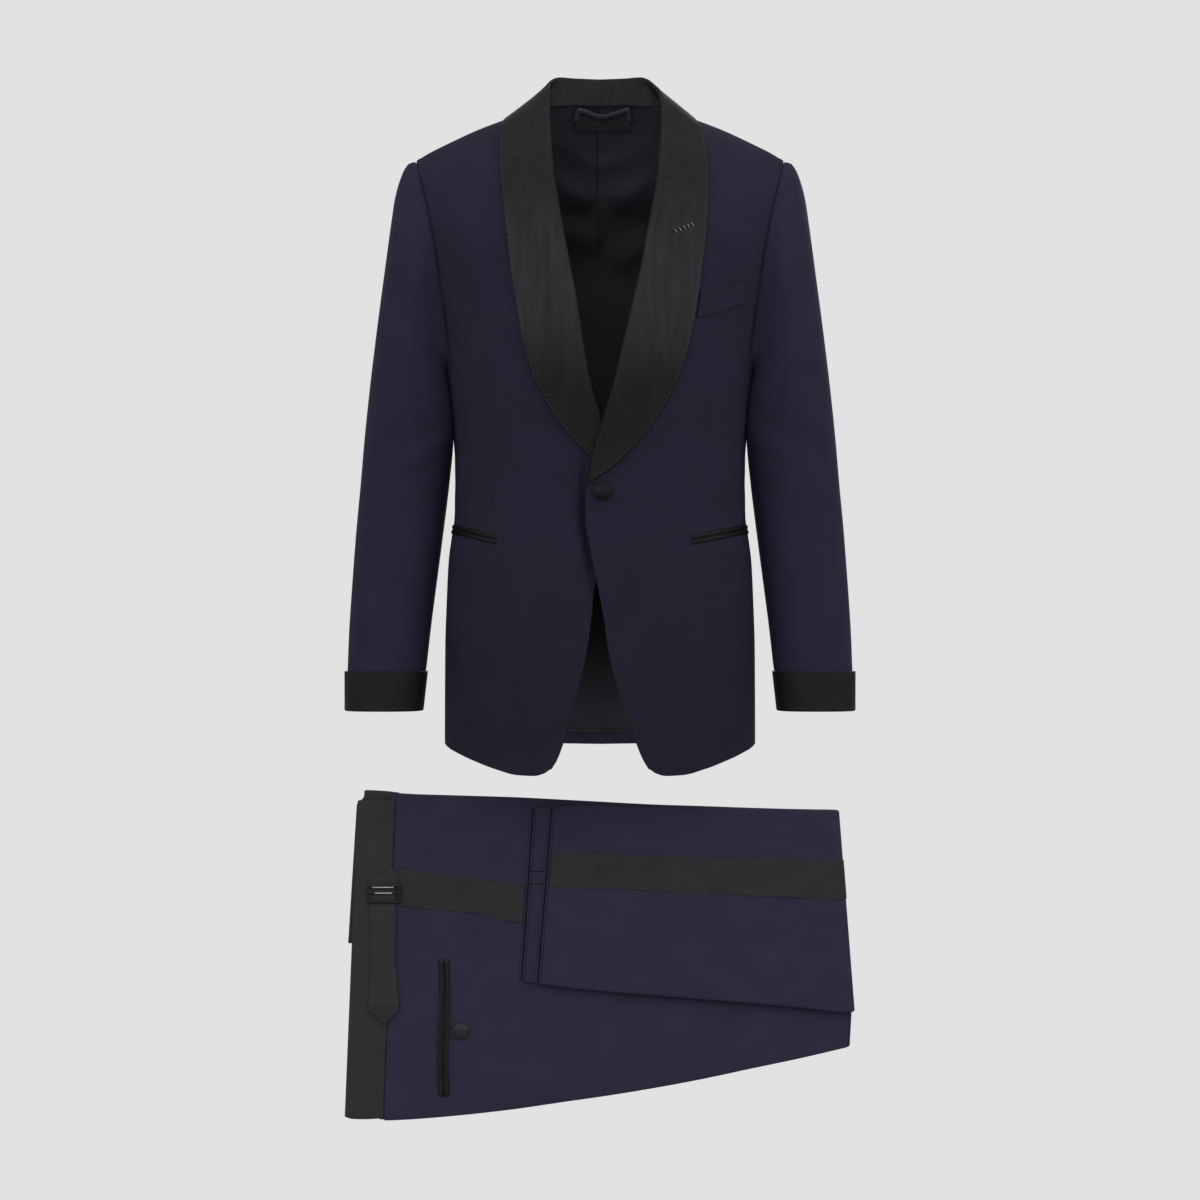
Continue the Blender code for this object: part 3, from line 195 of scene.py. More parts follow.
def makeFinish(name, look, **changes):
    # threads lie under a nap, a cloud varies the dye, and each band repaints the dye between the
    # two heights where it is full and none, as painted light and painted shade, and once as a real neck tape
    look = dict(look, **changes)
    finish = bpy.data.materials.new(name)
    finish.use_nodes = True
    tree = finish.node_tree
    shader = tree.nodes["Principled BSDF"]
    for key, value in look["shader"].items():
        shader.inputs[key].default_value = value
    place = addNode(tree, "ShaderNodeTexCoord").outputs
    vector = addNode(tree, "ShaderNodeMapping",
                     {"Vector": place[look.get("source", "UV")], "Scale": (1000, 1000, 1000),
                      "Rotation": (0, 0, math.radians(look.get("slant", 0.0)))}).outputs[0]
    if "thread" in look:
        # a wave texture repeats every 0.314 / scale
        height = addNode(tree, "ShaderNodeTexWave",
                         {"Vector": vector, "Scale": 0.31416 / look["thread"], "Detail": 2.0,
                          "Detail Scale": 0.4, "Distortion": look["wobble"]},
                         bands_direction=look["direction"]).outputs["Fac"]
    if "nap" in look:
        size, detail, under = look["nap"]
        nap = addNode(tree, "ShaderNodeTexNoise", {"Vector": vector, "Scale": size, "Detail": detail})
        height = nap.outputs["Fac"] if under is None else addNode(
            tree, "ShaderNodeMath", {0: height, 1: under, 2: nap.outputs["Fac"]},
            operation="MULTIPLY_ADD").outputs[0]
    share = height
    if "cloud" in look:
        size, detail, depth, low, high = look["cloud"]
        drawn = addNode(tree, "ShaderNodeMapping",
                        {"Vector": vector, "Scale": look.get("drawn", (1, 1, 1))})
        cloud = addNode(tree, "ShaderNodeTexNoise",
                        {"Vector": drawn.outputs[0], "Scale": size, "Detail": detail})
        total = addNode(tree, "ShaderNodeMath", {0: cloud.outputs["Fac"], 1: depth, 2: height},
                        operation="MULTIPLY_ADD")
        share = addNode(tree, "ShaderNodeMapRange",
                        {"Value": total.outputs[0], "From Min": low, "From Max": high}).outputs[0]
    level = addNode(tree, "ShaderNodeSeparateXYZ", {"Vector": place["Object"]}).outputs["Z"]
    for heights, tones in [(None, look["tones"])] + look.get("worn", []):
        dark, light = map(linear, tones)
        dye = addNode(tree, "ShaderNodeMixRGB", {"Fac": share, "Color1": dark, "Color2": light})
        if heights:
            amount = addNode(tree, "ShaderNodeMapRange",
                             {"Value": level, "From Min": heights[1], "From Max": heights[0]},
                             interpolation_type="SMOOTHSTEP")
            dye = addNode(tree, "ShaderNodeMixRGB", {"Fac": amount.outputs[0], "Color1": colour,
                                                     "Color2": dye.outputs[0]})
        colour = dye.outputs[0]
    tree.links.new(colour, shader.inputs["Base Color"])
    if "relief" in look:
        millimetres, strength = look["relief"]
        bump = addNode(tree, "ShaderNodeBump", {"Height": height, "Distance": millimetres / 1000,
                                                "Strength": strength})
        tree.links.new(bump.outputs["Normal"], shader.inputs["Normal"])
    return finish


# sizes are in millimetres; nap is its scale, detail and how much thread shows through it; cloud is
# its scale, detail, depth and the range that is spread over the two tones; relief is depth, strength

# worsted wool, clipped and pressed: matt, with a fine diagonal twill.
# The real twill is 0.5 mm, too fine to show, so it is drawn twice as coarse.
wool = {
    "tones": ("#1a1929", "#252436"), "thread": 1.0, "direction": "DIAGONAL", "wobble": 0.8,
    "nap": (0.9, 3.0, 0.35), "cloud": (0.022, 2.0, 1.0, 0.55, 1.80), "relief": (0.07, 0.6),
    "shader": {"Roughness": 0.88, "Specular IOR Level": 0.18, "Sheen Weight": 0.14,
               "Sheen Roughness": 0.5, "Sheen Tint": linear("#4a4a66")},
}


def grosgrain(gloss, rib, tones):
    # silk grosgrain: a ribbed ribbon weave whose rounded ribs catch a soft, low sheen.
    # Real ribs are 0.8 mm: they are drawn a little coarser where they have to show.
    return {"tones": tones, "thread": rib, "direction": "X", "wobble": 0.5, "nap": (0.7, 2.0, 1.0),
            "cloud": (0.03, 2.0, 1.0, 0.5, 2.5), "relief": (0.08 * rib, 0.7),
            "shader": {"Roughness": 0.62, "Sheen Weight": 0.06, "Sheen Roughness": 0.5,
                       "Sheen Tint": linear("#55555a"), "Specular IOR Level": gloss}}


# satin weave: long floating threads that give a broad, soft gloss along them
satin = {
    "tones": ("#08080a", "#101012"), "thread": 0.7, "direction": "Y", "wobble": 0.8,
    "cloud": (0.04, 3.0, 1.0, 0.3, 1.7), "relief": (0.04, 0.4),
    "shader": {"Roughness": 0.50, "Specular IOR Level": 0.30, "Anisotropic": 0.3},
}
hipSatin = dict(satin, shader=dict(satin["shader"], **{"Specular IOR Level": 0.16}))
lining = dict(satin, thread=0.9, tones=("#070709", "#0f0f12"), shader={
    "Roughness": 0.50, "Specular IOR Level": 0.19, "Anisotropic": 0.4, "Sheen Weight": 0.08,
    "Sheen Tint": linear("#3c4650")})
# damask label tape: dense, fine and almost without gloss
labelTape = {"tones": ("#2a292e", "#39383f"), "thread": 0.8, "direction": "Y", "wobble": 0.2,
             "relief": (0.05, 0.5), "shader": {"Roughness": 0.62, "Specular IOR Level": 0.3}}
# twisted silk: a dark thread with a bright glint where it stands up
silkThread = {"tones": ("#1c1c1f", "#3c3c42"), "source": "Object", "thread": 0.5,
              "direction": "DIAGONAL", "wobble": 0.3,
              "shader": {"Roughness": 0.34, "Specular IOR Level": 0.6}}
# stove enamel on a die-cast slide, glossy and slightly uneven, and bright steel rods laid on its bars that
# paint their highlights
enamel = {"tones": ("#050506", "#0c0c0d"), "source": "Object", "nap": (0.5, 2.0, None),
          "relief": (0.03, 0.3),
          "shader": {"Roughness": 0.38, "Specular IOR Level": 0.28, "Coat Weight": 0.1,
                     "Coat Roughness": 0.2}}
wornSteel = dict(enamel, tones=("#9a9aa0", "#d0d0d4"), shader={"Roughness": 0.22, "Metallic": 1.0})

finishes = {
    # the jacket's wool is painted darker towards the hem, between the two heights: painted shade
    "wool": makeFinish("worstedWool", wool, worn=[((-0.640, -0.440), ("#181724", "#212130"))]),
    # the trousers take a lighter copy of the same wool: painted light for the brighter, flatter light on
    # them
    "trouserWoolPaintedLighter": makeFinish("trouserWoolPaintedLighter", wool, tones=("#272538", "#353448")),
    # the sleeves take a lighter copy of the same wool: painted light
    "sleeveWoolPaintedLighter": makeFinish("sleeveWoolPaintedLighter", wool, tones=("#1d1c2d", "#29283b")),
    # the turned-up hem inside the back is painted far lighter than the same wool: painted light where the
    # inside of the jacket is in shade
    "hemWoolPaintedLight": makeFinish("turnedUpWoolPaintedLight", wool, tones=("#41405a", "#53526b")),
    # the lapels' grosgrain has a painted sheen band across the middle of the roll and painted shade lower
    # down
    "lapel": makeFinish("lapelGrosgrain", grosgrain(0.18, 1.5, ("#0b0b0c", "#202022")), source="Object",
                        direction="Z", drawn=(4, 4, 0.4), cloud=(0.03, 2.0, 2.2, 1.1, 3.1),
                        worn=[((-0.170, -0.070), ("#131214", "#302f33")),
                              ((-0.320, -0.230), ("#060607", "#151516"))]),
    "cuff": makeFinish("cuffGrosgrain", grosgrain(0.13, 1.3, ("#0f0f10", "#1e1e1f"))),
    "stripe": makeFinish("stripeGrosgrain", grosgrain(0.24, 2.3, ("#0e0e0f", "#363638")), wobble=2.0,
                         slant=9),
    "band": makeFinish("waistbandGrosgrain", grosgrain(0.30, 1.3, ("#191919", "#303030")),
                       direction="Y", wobble=0.8),
    "hemTape": makeFinish("hemTapeGrosgrain", grosgrain(0.08, 1.0, ("#060607", "#0b0b0d"))),
    "satin": makeFinish("jetSatin", satin),
    "hipSatin": makeFinish("hipJetSatin", hipSatin),
    "button": makeFinish("buttonSatin", hipSatin, tones=("#09090a", "#121214")),
    "buttonLight": makeFinish("pocketButtonSatin", satin, tones=("#19191b", "#2a2a2e")),
    # painted light over the shoulders and along the hem, leaving the deep middle darker, with a navy neck
    # tape at the top
    "lining": makeFinish("liningSatin", lining, worn=[((-0.052, -0.098), ("#2d2d35", "#40404a")),
                                                      ((-0.700, -0.560), ("#3c3f46", "#555960")),
                                                      ((0.031, 0.023), ("#262532", "#333241"))]),
    "loop": makeFinish("loopSatin", lining, tones=("#363540", "#464550")),
    "label": makeFinish("wovenLabel", labelTape),
    "thread": makeFinish("silkThread", silkThread),
    # the buttonhole's black silk twist is painted near-white: a painted glint
    "paintedGlint": makeFinish("buttonholeTwistPaintedGlint", silkThread, tones=("#4a4a50", "#a4a4ac")),
    "enamel": makeFinish("blackEnamel", enamel),
    "bar": makeFinish("wornSteel", wornSteel),
}
print("finishes made")


# cloth: a grid of points with a direction and a place in the flat cloth at each one
def softLine(u, v, points):
    # distance from a soft curve through points, and the share of the way along it
    line = through(points, np.linspace(0, len(points) - 1, 17))
    gap, share = np.full(u.shape, 9.0), np.zeros(u.shape)
    for k in range(16):
        a, d = line[k], line[k + 1] - line[k]
        t = np.clip(((u - a[0]) * d[0] + (v - a[1]) * d[1]) / (d @ d), 0, 1)
        here = np.hypot(u - a[0] - t * d[0], v - a[1] - t * d[1])
        share = np.where(here < gap, (k + t) / 16, share)
        gap = np.minimum(gap, here)
    return gap, share


def folds(u, v, rows):
    # each fold is its width, its height at its middle, below 0 for a trough, and its line
    shift = np.zeros(u.shape)
    for width, height, line in rows:
        gap, share = softLine(u, v, line)
        shift += height * hump(gap, width) * np.sin(math.pi * np.clip(share, 0.0, 1.0)) ** 0.7
    return shift


def foldsRound(rows, degree, raised=0.0, ease=1.0):
    # folds given in degrees round and z, as metres
    return [(width, height * ease, [(a * degree, z + raised) for a, z in line])
            for width, height, line in rows]


def spacing(length, count, start, end, knot=None, knotShare=0.5, offsets=()):
    # places along a row of cloth: close together at its edges and at a knot, such as a dart
    low, high = np.array(start, float), length - np.array(end, float)[::-1]
    if knot is None:
        return np.concatenate([low, np.linspace(low[-1], high[0], count)[1:-1], high])
    first = max(3, int(count * knotShare))
    around = knot + np.array(offsets)
    return np.concatenate([low, np.linspace(low[-1], around[0], first)[1:-1], around,
                           np.linspace(around[-1], high[0], count - first)[1:-1], high])


def respace(fields, axis, count, start=(0.0,), end=(0.0,), knots=None, knotShare=0.5, offsets=()):
    # fields are grids of the same cloth, points first; rows are put at even real distances
    if axis == 0:
        fields = [field.swapaxes(0, 1) for field in fields]
    made = [[] for _ in fields]
    for i in range(len(fields[0])):
        gone = runAlong(fields[0][i])
        places = spacing(gone[-1], count, start, end, None if knots is None else knots[i],
                         knotShare, offsets)
        for field, rows in zip(fields, made):
            rows.append(pointAt(places, gone, field[i]))
    made = [np.array(rows) for rows in made]
    return [field.swapaxes(0, 1) for field in made] if axis == 0 else made


def evenly(fields, columns, rows, insets):
    # both ways, and close together along all four edges
    return respace(respace(fields, 1, columns, insets, insets), 0, rows, insets, insets)


def roundInsets(radius):
    return [radius * (1 - math.sin(math.radians(turn))) for turn in (90, 60, 30, 0)]


def edgeDrop(distance, radius):
    # a rounded edge: how far the face has fallen at a distance from the edge
    inside = np.clip(radius - distance, 0.0, radius)
    return radius - np.sqrt(np.maximum(radius * radius - inside * inside, 0.0))


def gridDirections(grid, wrap=False):
    along = np.gradient(grid, axis=0)
    if wrap:
        across = np.roll(grid, -1, axis=1) - np.roll(grid, 1, axis=1)
    else:
        across = np.gradient(grid, axis=1)
    return unit(np.cross(along, across))


def newPiece(name, points, faces):
    mesh = bpy.data.meshes.new(name)
    mesh.from_pydata(points, [], faces)
    piece = bpy.data.objects.new(name, mesh)
    bpy.context.scene.collection.objects.link(piece)
    return piece


def clothWall(name, outer, inner, flat, wrap=False, insideOf=None):
    # a closed wall between two grids; insideOf says where the inner face takes the second finish
    rows, columns = outer.shape[:2]
    index = np.arange(rows * columns).reshape(rows, columns)
    if wrap:
        index = np.concatenate([index, index[:, :1]], axis=1)
    a, b, c, d = index[:-1, :-1], index[:-1, 1:], index[1:, 1:], index[1:, :-1]
    face = np.stack([a, b, c, d], axis=-1).reshape(-1, 4)
    below = rows * columns
    lines = [index[0], index[-1][::-1]] + ([] if wrap else [index[:, 0][::-1], index[:, -1]])
    rims = [np.stack([line[1:], line[:-1], line[:-1] + below, line[1:] + below], axis=-1)
            for line in lines]
    faces = np.concatenate([face, face[:, ::-1] + below] + rims)
    points = np.concatenate([outer.reshape(-1, 3), inner.reshape(-1, 3)])
    middle = len(face) // 2
    p = points[face[middle]]
    facing = np.cross(p[1] - p[0], p[3] - p[0]) @ (p[0] - points[face[middle][0] + below])
    if facing < 0:
        faces = faces[:, ::-1]
    piece = newPiece(name, points.tolist(), faces.tolist())
    layer = piece.data.uv_layers.new(name="cloth")
    places = np.concatenate([flat.reshape(-1, 2)] * 2)[faces.reshape(-1)]
    layer.data.foreach_set("uv", places.astype(np.float32).ravel())
    if insideOf is not None:
        kind = np.zeros(len(faces), np.int32)
        kind[len(face):2 * len(face)] = insideOf[:-1, :columns - (0 if wrap else 1)].reshape(-1)
        piece.data.polygons.foreach_set("material_index", kind)
    return piece


def select(piece):
    bpy.ops.object.select_all(action="DESELECT")
    piece.select_set(True)
    bpy.context.view_layer.objects.active = piece


def settle(piece, *names, nodes=(), smooth=40, sheet=None):
    # finishes, riding and what it stands for
    # sheet, a cloth's flat cut, is not used
    for name in names:
        piece.data.materials.append(finishes[name])
    select(piece)
    bpy.ops.object.shade_smooth_by_angle(angle=math.radians(smooth))
    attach(piece, "root")
    if nodes:
        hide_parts(*nodes)
    piece.select_set(False)
    return piece


def layFlat(piece, layer):
    # the cloth's flat places are those seen from the front
    spots = np.array([piece.data.vertices[loop.vertex_index].co for loop in piece.data.loops])
    layer.data.foreach_set("uv", spots[:, [0, 2]].astype(np.float32).ravel())


def placeMesh(piece):
    # puts an object's place into its mesh
    select(piece)
    bpy.ops.object.transform_apply(location=True, rotation=True, scale=True)
    return piece


# jacket panels
panel = {
    "cloth": 0.0018, "edge": 0.0008, "seamDip": 0.0005, "seamDipWidth": 0.0028,
    "tightDip": 0.0009, "tightWidth": 0.0011,
    "cornerZ": -0.7476, "junctionZ": -0.2906, "centreBackTop": -0.262,
    "frontSeam": (68.0, 75.0), "backSeam": (115.0, 124.0), "seamTops": (-0.270, -0.250),
    "seamBendZ": -0.72, "seamBend": 0.45, "shoulderPointX": 0.217, "neckPointX": 0.080,
    "shoulderWay": (0.42, 0.0, 0.907), "inset": 0.0054, "armholeZ": -0.262, "armholeFade": 0.010,
    "turnUpTo": 0.030, "turnUpFade": 0.004, "facing": 0.075, "sheet": {"flat": (0.32, 0.80), "area": 0.140},
    # metres of cloth for a degree round the body, in the flat cloth and where folds are placed
    "degree": 0.0031, "foldDegree": 0.0029,
}
hem = {
    "angle": [0.0, 13.8, 16.6, 20.5, 27.2, 37.0, 51.6, 66.7, 90.0, 125.0, 180.0],
    "z": [-0.7430, -0.7476, -0.7530, -0.7558, -0.7550, -0.7490, -0.7388, -0.7302, -0.7230, -0.7265,
          -0.7304],
}
lap = {
    "z": [-0.750, -0.560, -0.460, -0.420, -0.340, -0.200, -0.100],
    "out": [0.0035, 0.0052, 0.0078, 0.0100, 0.0100, 0.0040, 0.0000],
    "from": 0.030, "to": 0.090,
}
frontEdge = {
    "z": [-0.7476, -0.7395, -0.7201, -0.6917, -0.6530, -0.6155, -0.5746, -0.5380],
    "leftX": [0.0552, 0.0495, 0.0410, 0.0322, 0.0187, 0.0097, 0.0038, -0.0030],
    "rightX": [0.0552, 0.0495, 0.0418, 0.0337, 0.0240, 0.0150, 0.0095, 0.0056],
    "topZ": [-0.5160, -0.4906, -0.4679, -0.4497, -0.4290],
    "leftTopX": [-0.0075, -0.0119, -0.0160, -0.0165, -0.0152],
    "rightTopX": [-0.0080, -0.0130, -0.0165, -0.0178, -0.0175],
}
armhole = {
    "frontZ": [-0.270, -0.230, -0.175, -0.125, -0.080, -0.0377],
    "frontX": [0.1745, 0.1785, 0.1860, 0.1945, 0.2055, 0.2170],
    "backZ": [-0.250, -0.200, -0.150, -0.100, -0.0377],
    "backX": [0.1735, 0.1840, 0.1920, 0.2015, 0.2170],
    "baseAngle": [68.0, 80.0, 92.0, 104.0, 115.0],
    "baseZ": [-0.2700, -0.2870, -0.2906, -0.2790, -0.2500],
    "middle": (0.004, -0.16415), "radii": (0.066, 0.1265), "shoulderZ": -0.0377, "ease": 0.0003,
}
backNeck = {"x": [0.000, 0.030, 0.060, 0.080], "z": [0.0360, 0.0350, 0.0310, 0.0255]}
lapels = {
    "left": {
        "rollX": [0.0701, 0.0663, 0.0624, 0.0542, 0.0461, 0.0382, 0.0275, 0.0153, 0.0085, 0.0017,
                  -0.0050, -0.0105, -0.0152],
        "rollZ": [-0.0131, -0.0550, -0.0872, -0.1308, -0.1761, -0.2094, -0.2550, -0.3055, -0.3290,
                  -0.3520, -0.3740, -0.3960, -0.4190],
        "edgeX": [0.1200, 0.1233, 0.1225, 0.1200, 0.1150, 0.1090, 0.1010, 0.0900, 0.0778, 0.0539,
                  0.0267, 0.0070, -0.0130],
        "edgeZ": [-0.0200, -0.0600, -0.0950, -0.1350, -0.1760, -0.2200, -0.2600, -0.2980, -0.3248,
                  -0.3600, -0.3918, -0.4090, -0.4222],
    },
    "right": {
        "rollX": [0.0573, 0.0533, 0.0490, 0.0415, 0.0335, 0.0267, 0.0205, 0.0125, 0.0060, -0.0040,
                  -0.0100, -0.0150, -0.0178],
        "rollZ": [-0.0131, -0.0597, -0.0880, -0.1310, -0.1761, -0.2094, -0.2500, -0.2960, -0.3200,
                  -0.3482, -0.3700, -0.3900, -0.4090],
        "edgeX": [0.1159, 0.1145, 0.1105, 0.1060, 0.1005, 0.0940, 0.0870, 0.0757, 0.0640, 0.0440,
                  0.0220, 0.0030, -0.0130],
        "edgeZ": [-0.0180, -0.0600, -0.0930, -0.1330, -0.1780, -0.2180, -0.2580, -0.3002, -0.3240,
                  -0.3560, -0.3810, -0.4010, -0.4160],
    },
}
sides = {"left": 1, "right": -1}


def hemHeight(angle):
    return curve(hem["angle"], hem["z"], np.abs(angle))


def seamAngle(z, pair):
    top, low = pair
    return low + (top - low) * smoothStep((z - panel["seamBendZ"]) / panel["seamBend"])


def lapOut(x, z, side):
    if side < 0:
        return x * 0.0
    fade = 1 - smoothStep((x - lap["from"]) / (lap["to"] - lap["from"]))
    return curve(lap["z"], lap["out"], z) * fade


def edgeLine(side):
    name = "left" if side > 0 else "right"
    roll = lapels[name]
    inset, neckX = panel["inset"], panel["neckPointX"]
    zs = frontEdge["z"] + frontEdge["topZ"] + [-0.4210] + roll["rollZ"][-2:0:-1]
    xs = frontEdge[name + "X"] + frontEdge[name + "TopX"] + [x + inset for x in roll["rollX"][:0:-1]]
    return zs + [-0.014, 0.004, 0.0255], xs + [roll["rollX"][0] + inset + 0.006, neckX + 0.003,
                                               neckX + 0.004]


def upperShares(count):
    return 1 - (1 - np.linspace(0, 1, count)[1:]) ** 1.55


def frontPlaces(side, low=120, high=70, columns=140):
    zs, xs = edgeLine(side)
    s = np.linspace(0, 1, columns)[None, :] ** 0.9
    t = np.linspace(0, 1, low)[:, None]
    seamHem, seamTop = hemHeight(panel["frontSeam"][1]), panel["seamTops"][0]
    edgeZ = panel["cornerZ"] + (panel["junctionZ"] - panel["cornerZ"]) * t
    seamZ = seamHem + (seamTop - seamHem) * t
    edgeTurn = angleAt(curve(zs, xs, edgeZ), edgeZ)
    angle = edgeTurn + (seamAngle(seamZ, panel["frontSeam"]) - edgeTurn) * s
    bump = hemHeight(angle) - (panel["cornerZ"] + (seamHem - panel["cornerZ"]) * s)
    z = edgeZ + (seamZ - edgeZ) * s + bump * np.maximum(0.0, 1 - t * 1.6) ** 2
    base = bodyPoint(angle[-1], z[-1])[:, 0]
    s = ((base - base[0]) / (base[-1] - base[0]))[None, :]
    g = upperShares(high)[:, None]
    topX = xs[-1] + (panel["shoulderPointX"] - xs[-1]) * s
    highZ = z[-1][None, :] + (shoulderHeight(topX) - z[-1][None, :]) * g
    edgeZ = panel["junctionZ"] + (shoulderHeight(xs[-1]) - panel["junctionZ"]) * g
    armZ = seamTop + (shoulderHeight(panel["shoulderPointX"]) - seamTop) * g
    lowX, armX = curve(zs, xs, edgeZ), curve(armhole["frontZ"], armhole["frontX"], armZ)
    highAngle = angleAt(lowX + (armX - lowX) * s, highZ)
    return np.concatenate([angle, highAngle]), np.concatenate([z, highZ])


def backPlaces(low=110, high=60, columns=110):
    s = np.linspace(0, 1, columns)[None, :]
    t = np.linspace(0, 1, low)[:, None]
    centreHem, seamHem, seamTop = hemHeight(180), hemHeight(panel["backSeam"][1]), panel["seamTops"][1]
    centreZ = centreHem + (panel["centreBackTop"] - centreHem) * t
    seamZ = seamHem + (seamTop - seamHem) * t
    angle = 180 + (seamAngle(seamZ, panel["backSeam"]) - 180) * s
    z = centreZ + (seamZ - centreZ) * s
    base = bodyPoint(angle[-1], z[-1])[:, 0]
    s = ((base - base[0]) / (base[-1] - base[0]))[None, :]
    g = upperShares(high)[:, None]
    topX = panel["shoulderPointX"] * s
    topZ = np.where(topX > panel["neckPointX"], shoulderHeight(topX),
                    curve(backNeck["x"], backNeck["z"], topX))
    highZ = z[-1][None, :] + (topZ - z[-1][None, :]) * g
    armZ = seamTop + (shoulderHeight(panel["shoulderPointX"]) - seamTop) * g
    armX = curve(armhole["backZ"], armhole["backX"], armZ)
    highAngle = angleAt(np.maximum(armX * s, 1e-6), highZ, back=True)
    return np.concatenate([angle, highAngle]), np.concatenate([z, highZ])


def sidePlaces(low=160, columns=60):
    s = np.linspace(0, 1, columns)[None, :]
    t = np.linspace(0, 1, low)[:, None]
    hemTurn = panel["frontSeam"][1] + (panel["backSeam"][1] - panel["frontSeam"][1]) * s
    topTurn = panel["frontSeam"][0] + (panel["backSeam"][0] - panel["frontSeam"][0]) * s
    z = hemHeight(hemTurn)
    z = z + (curve(armhole["baseAngle"], armhole["baseZ"], topTurn) - z) * t
    front, back = seamAngle(z, panel["frontSeam"]), seamAngle(z, panel["backSeam"])
    return front + (back - front) * s, z


def panelFields(angle, z, side):
    # points, directions and flat places of a panel's dense grid
    points, ways = bodyPoint(angle, z), bodyNormal(angle, z)
    level = np.abs(points[-1, :, 1] - bodyShape["shoulderY"]) < 0.002
    ways[-1][level] = panel["shoulderWay"]
    ways[-1] = unit(ways[-1])
    out = np.where(np.abs(angle) < 90, lapOut(points[..., 0], z, side), 0.0)
    points = (points + ways * out[..., None]) * (side, 1, 1)
    return [points, ways * (side, 1, 1), together(angle * panel["degree"] * side, z)]


def panelWall(name, fields, dips, cloth, insideOf, turnUp=0.0):
    # dips are how far each point lies under the body's surface
    points, ways, flat = fields
    outer = points - ways * dips[..., None]
    # where a hem is turned up inside, the cloth is thicker
    upHem = np.linalg.norm(points - points[:1], axis=-1)
    cloth = cloth + turnUp * (1 - smoothStep((upHem - panel["turnUpTo"]) / panel["turnUpFade"]))
    inner = points - ways * np.maximum(np.maximum(dips, 0) * 0.25 + cloth, dips + 0.0009)[..., None]
    inner = np.where((dips < 0)[..., None], outer - ways * (cloth + 0 * dips)[..., None], inner)
    return clothWall(name, outer, inner, flat, insideOf=insideOf)


def edgeSpans(shape, insets, edges):
    # each point's real distance from each of a grid's edges, where it is close to one
    rows, columns = shape
    spans = {}
    for edge in edges:
        span = np.full(shape, 9.0)
        for k, inset in enumerate(insets):
            if edge == "left":
                span[:, k] = inset
            if edge == "right":
                span[:, columns - 1 - k] = inset
            if edge == "first":
                span[k] = inset
            if edge == "last":
                span[rows - 1 - k] = inset
        spans[edge] = span
    return spans


def edgeDrops(shape, insets, edges, radius):
    return np.max([edgeDrop(span, radius) for span in edgeSpans(shape, insets, edges).values()], axis=0)


def dipsOf(shape, insets, seams, free, tight=()):
    # rounded edges all round, and a soft dip along each seam; tight seams are pressed flat
    dips = np.zeros(shape)
    for edge, span in edgeSpans(shape, insets, list(seams) + list(free)).items():
        if edge in tight:
            dips = np.maximum(dips, panel["tightDip"] * hump(span, panel["tightWidth"]))
            continue
        dips = np.maximum(dips, edgeDrop(span, panel["edge"]))
        if edge in seams:
            dips += panel["seamDip"] * hump(span, panel["seamDipWidth"])
    return np.minimum(dips, panel["cloth"] * 0.8)


def tightenArmhole(dips, points, tight):
    # above the side seams the panel's edge is the armhole
    share = smoothStep((points[..., 2] - panel["armholeZ"]) / panel["armholeFade"])
    atEdge = np.arange(dips.shape[1])[None, :] >= dips.shape[1] - len(panelInsets)
    return np.where(atEdge, dips * (1 - share) + np.minimum(dips, tight) * share, dips)


panelInsets = roundInsets(panel["edge"]) + [0.0022, 0.0042]
darts = {
    "left": {"x": [0.1283, 0.1203, 0.1195, 0.1192], "z": [-0.2724, -0.2998, -0.390, -0.472]},
    "right": {"x": [0.1203, 0.1215, 0.1232, 0.1249], "z": [-0.2839, -0.330, -0.400, -0.472]},
    "depth": 0.0009, "width": 0.0011, "beside": (-0.0034, -0.0018, -0.0009, 0.0, 0.0009, 0.0018, 0.0034),
}
# folds of the fronts, as x and z on each side
frontFolds = {
    "left": [
        (0.010, -0.0011, [(0.020, -0.452), (0.060, -0.470), (0.110, -0.500)]),
        (0.012, -0.0009, [(0.016, -0.425), (0.050, -0.408), (0.095, -0.402)]),
        (0.016, -0.0016, [(0.010, -0.500), (0.030, -0.570), (0.062, -0.660)]),
        (0.022, 0.0014, [(0.085, -0.540), (0.088, -0.620), (0.098, -0.700)]),
        (0.018, -0.0013, [(0.130, -0.560), (0.128, -0.640), (0.140, -0.715)]),
        (0.015, -0.0022, [(0.165, -0.150), (0.158, -0.230), (0.150, -0.300)]),
        (0.020, 0.0010, [(0.145, -0.080), (0.150, -0.130), (0.146, -0.190)]),
        (0.016, 0.0008, [(0.090, -0.330), (0.100, -0.380), (0.098, -0.440)]),
    ],
    "right": [
        # pressed in beside the edge that laps over it
        (0.0056, -0.0085, [(0.0165, -0.380), (0.0165, -0.425), (0.0178, -0.4500), (0.0172, -0.4679),
                           (0.0133, -0.4906), (0.0089, -0.5160), (0.0044, -0.5380), (0.0010, -0.5700)]),
        (0.011, -0.0012, [(0.022, -0.455), (0.058, -0.480), (0.100, -0.515)]),
        (0.010, -0.0008, [(0.030, -0.430), (0.070, -0.418), (0.112, -0.416)]),
        (0.018, -0.0014, [(0.018, -0.520), (0.036, -0.590), (0.070, -0.670)]),
        (0.020, 0.0012, [(0.095, -0.520), (0.092, -0.610), (0.104, -0.690)]),
        (0.016, -0.0012, [(0.138, -0.540), (0.136, -0.620), (0.144, -0.700)]),
        (0.016, -0.0024, [(0.160, -0.130), (0.156, -0.210), (0.146, -0.280)]),
        (0.021, 0.0011, [(0.140, -0.090), (0.148, -0.150), (0.142, -0.210)]),
        (0.015, 0.0007, [(0.085, -0.340), (0.097, -0.390), (0.100, -0.450)]),
    ],
}


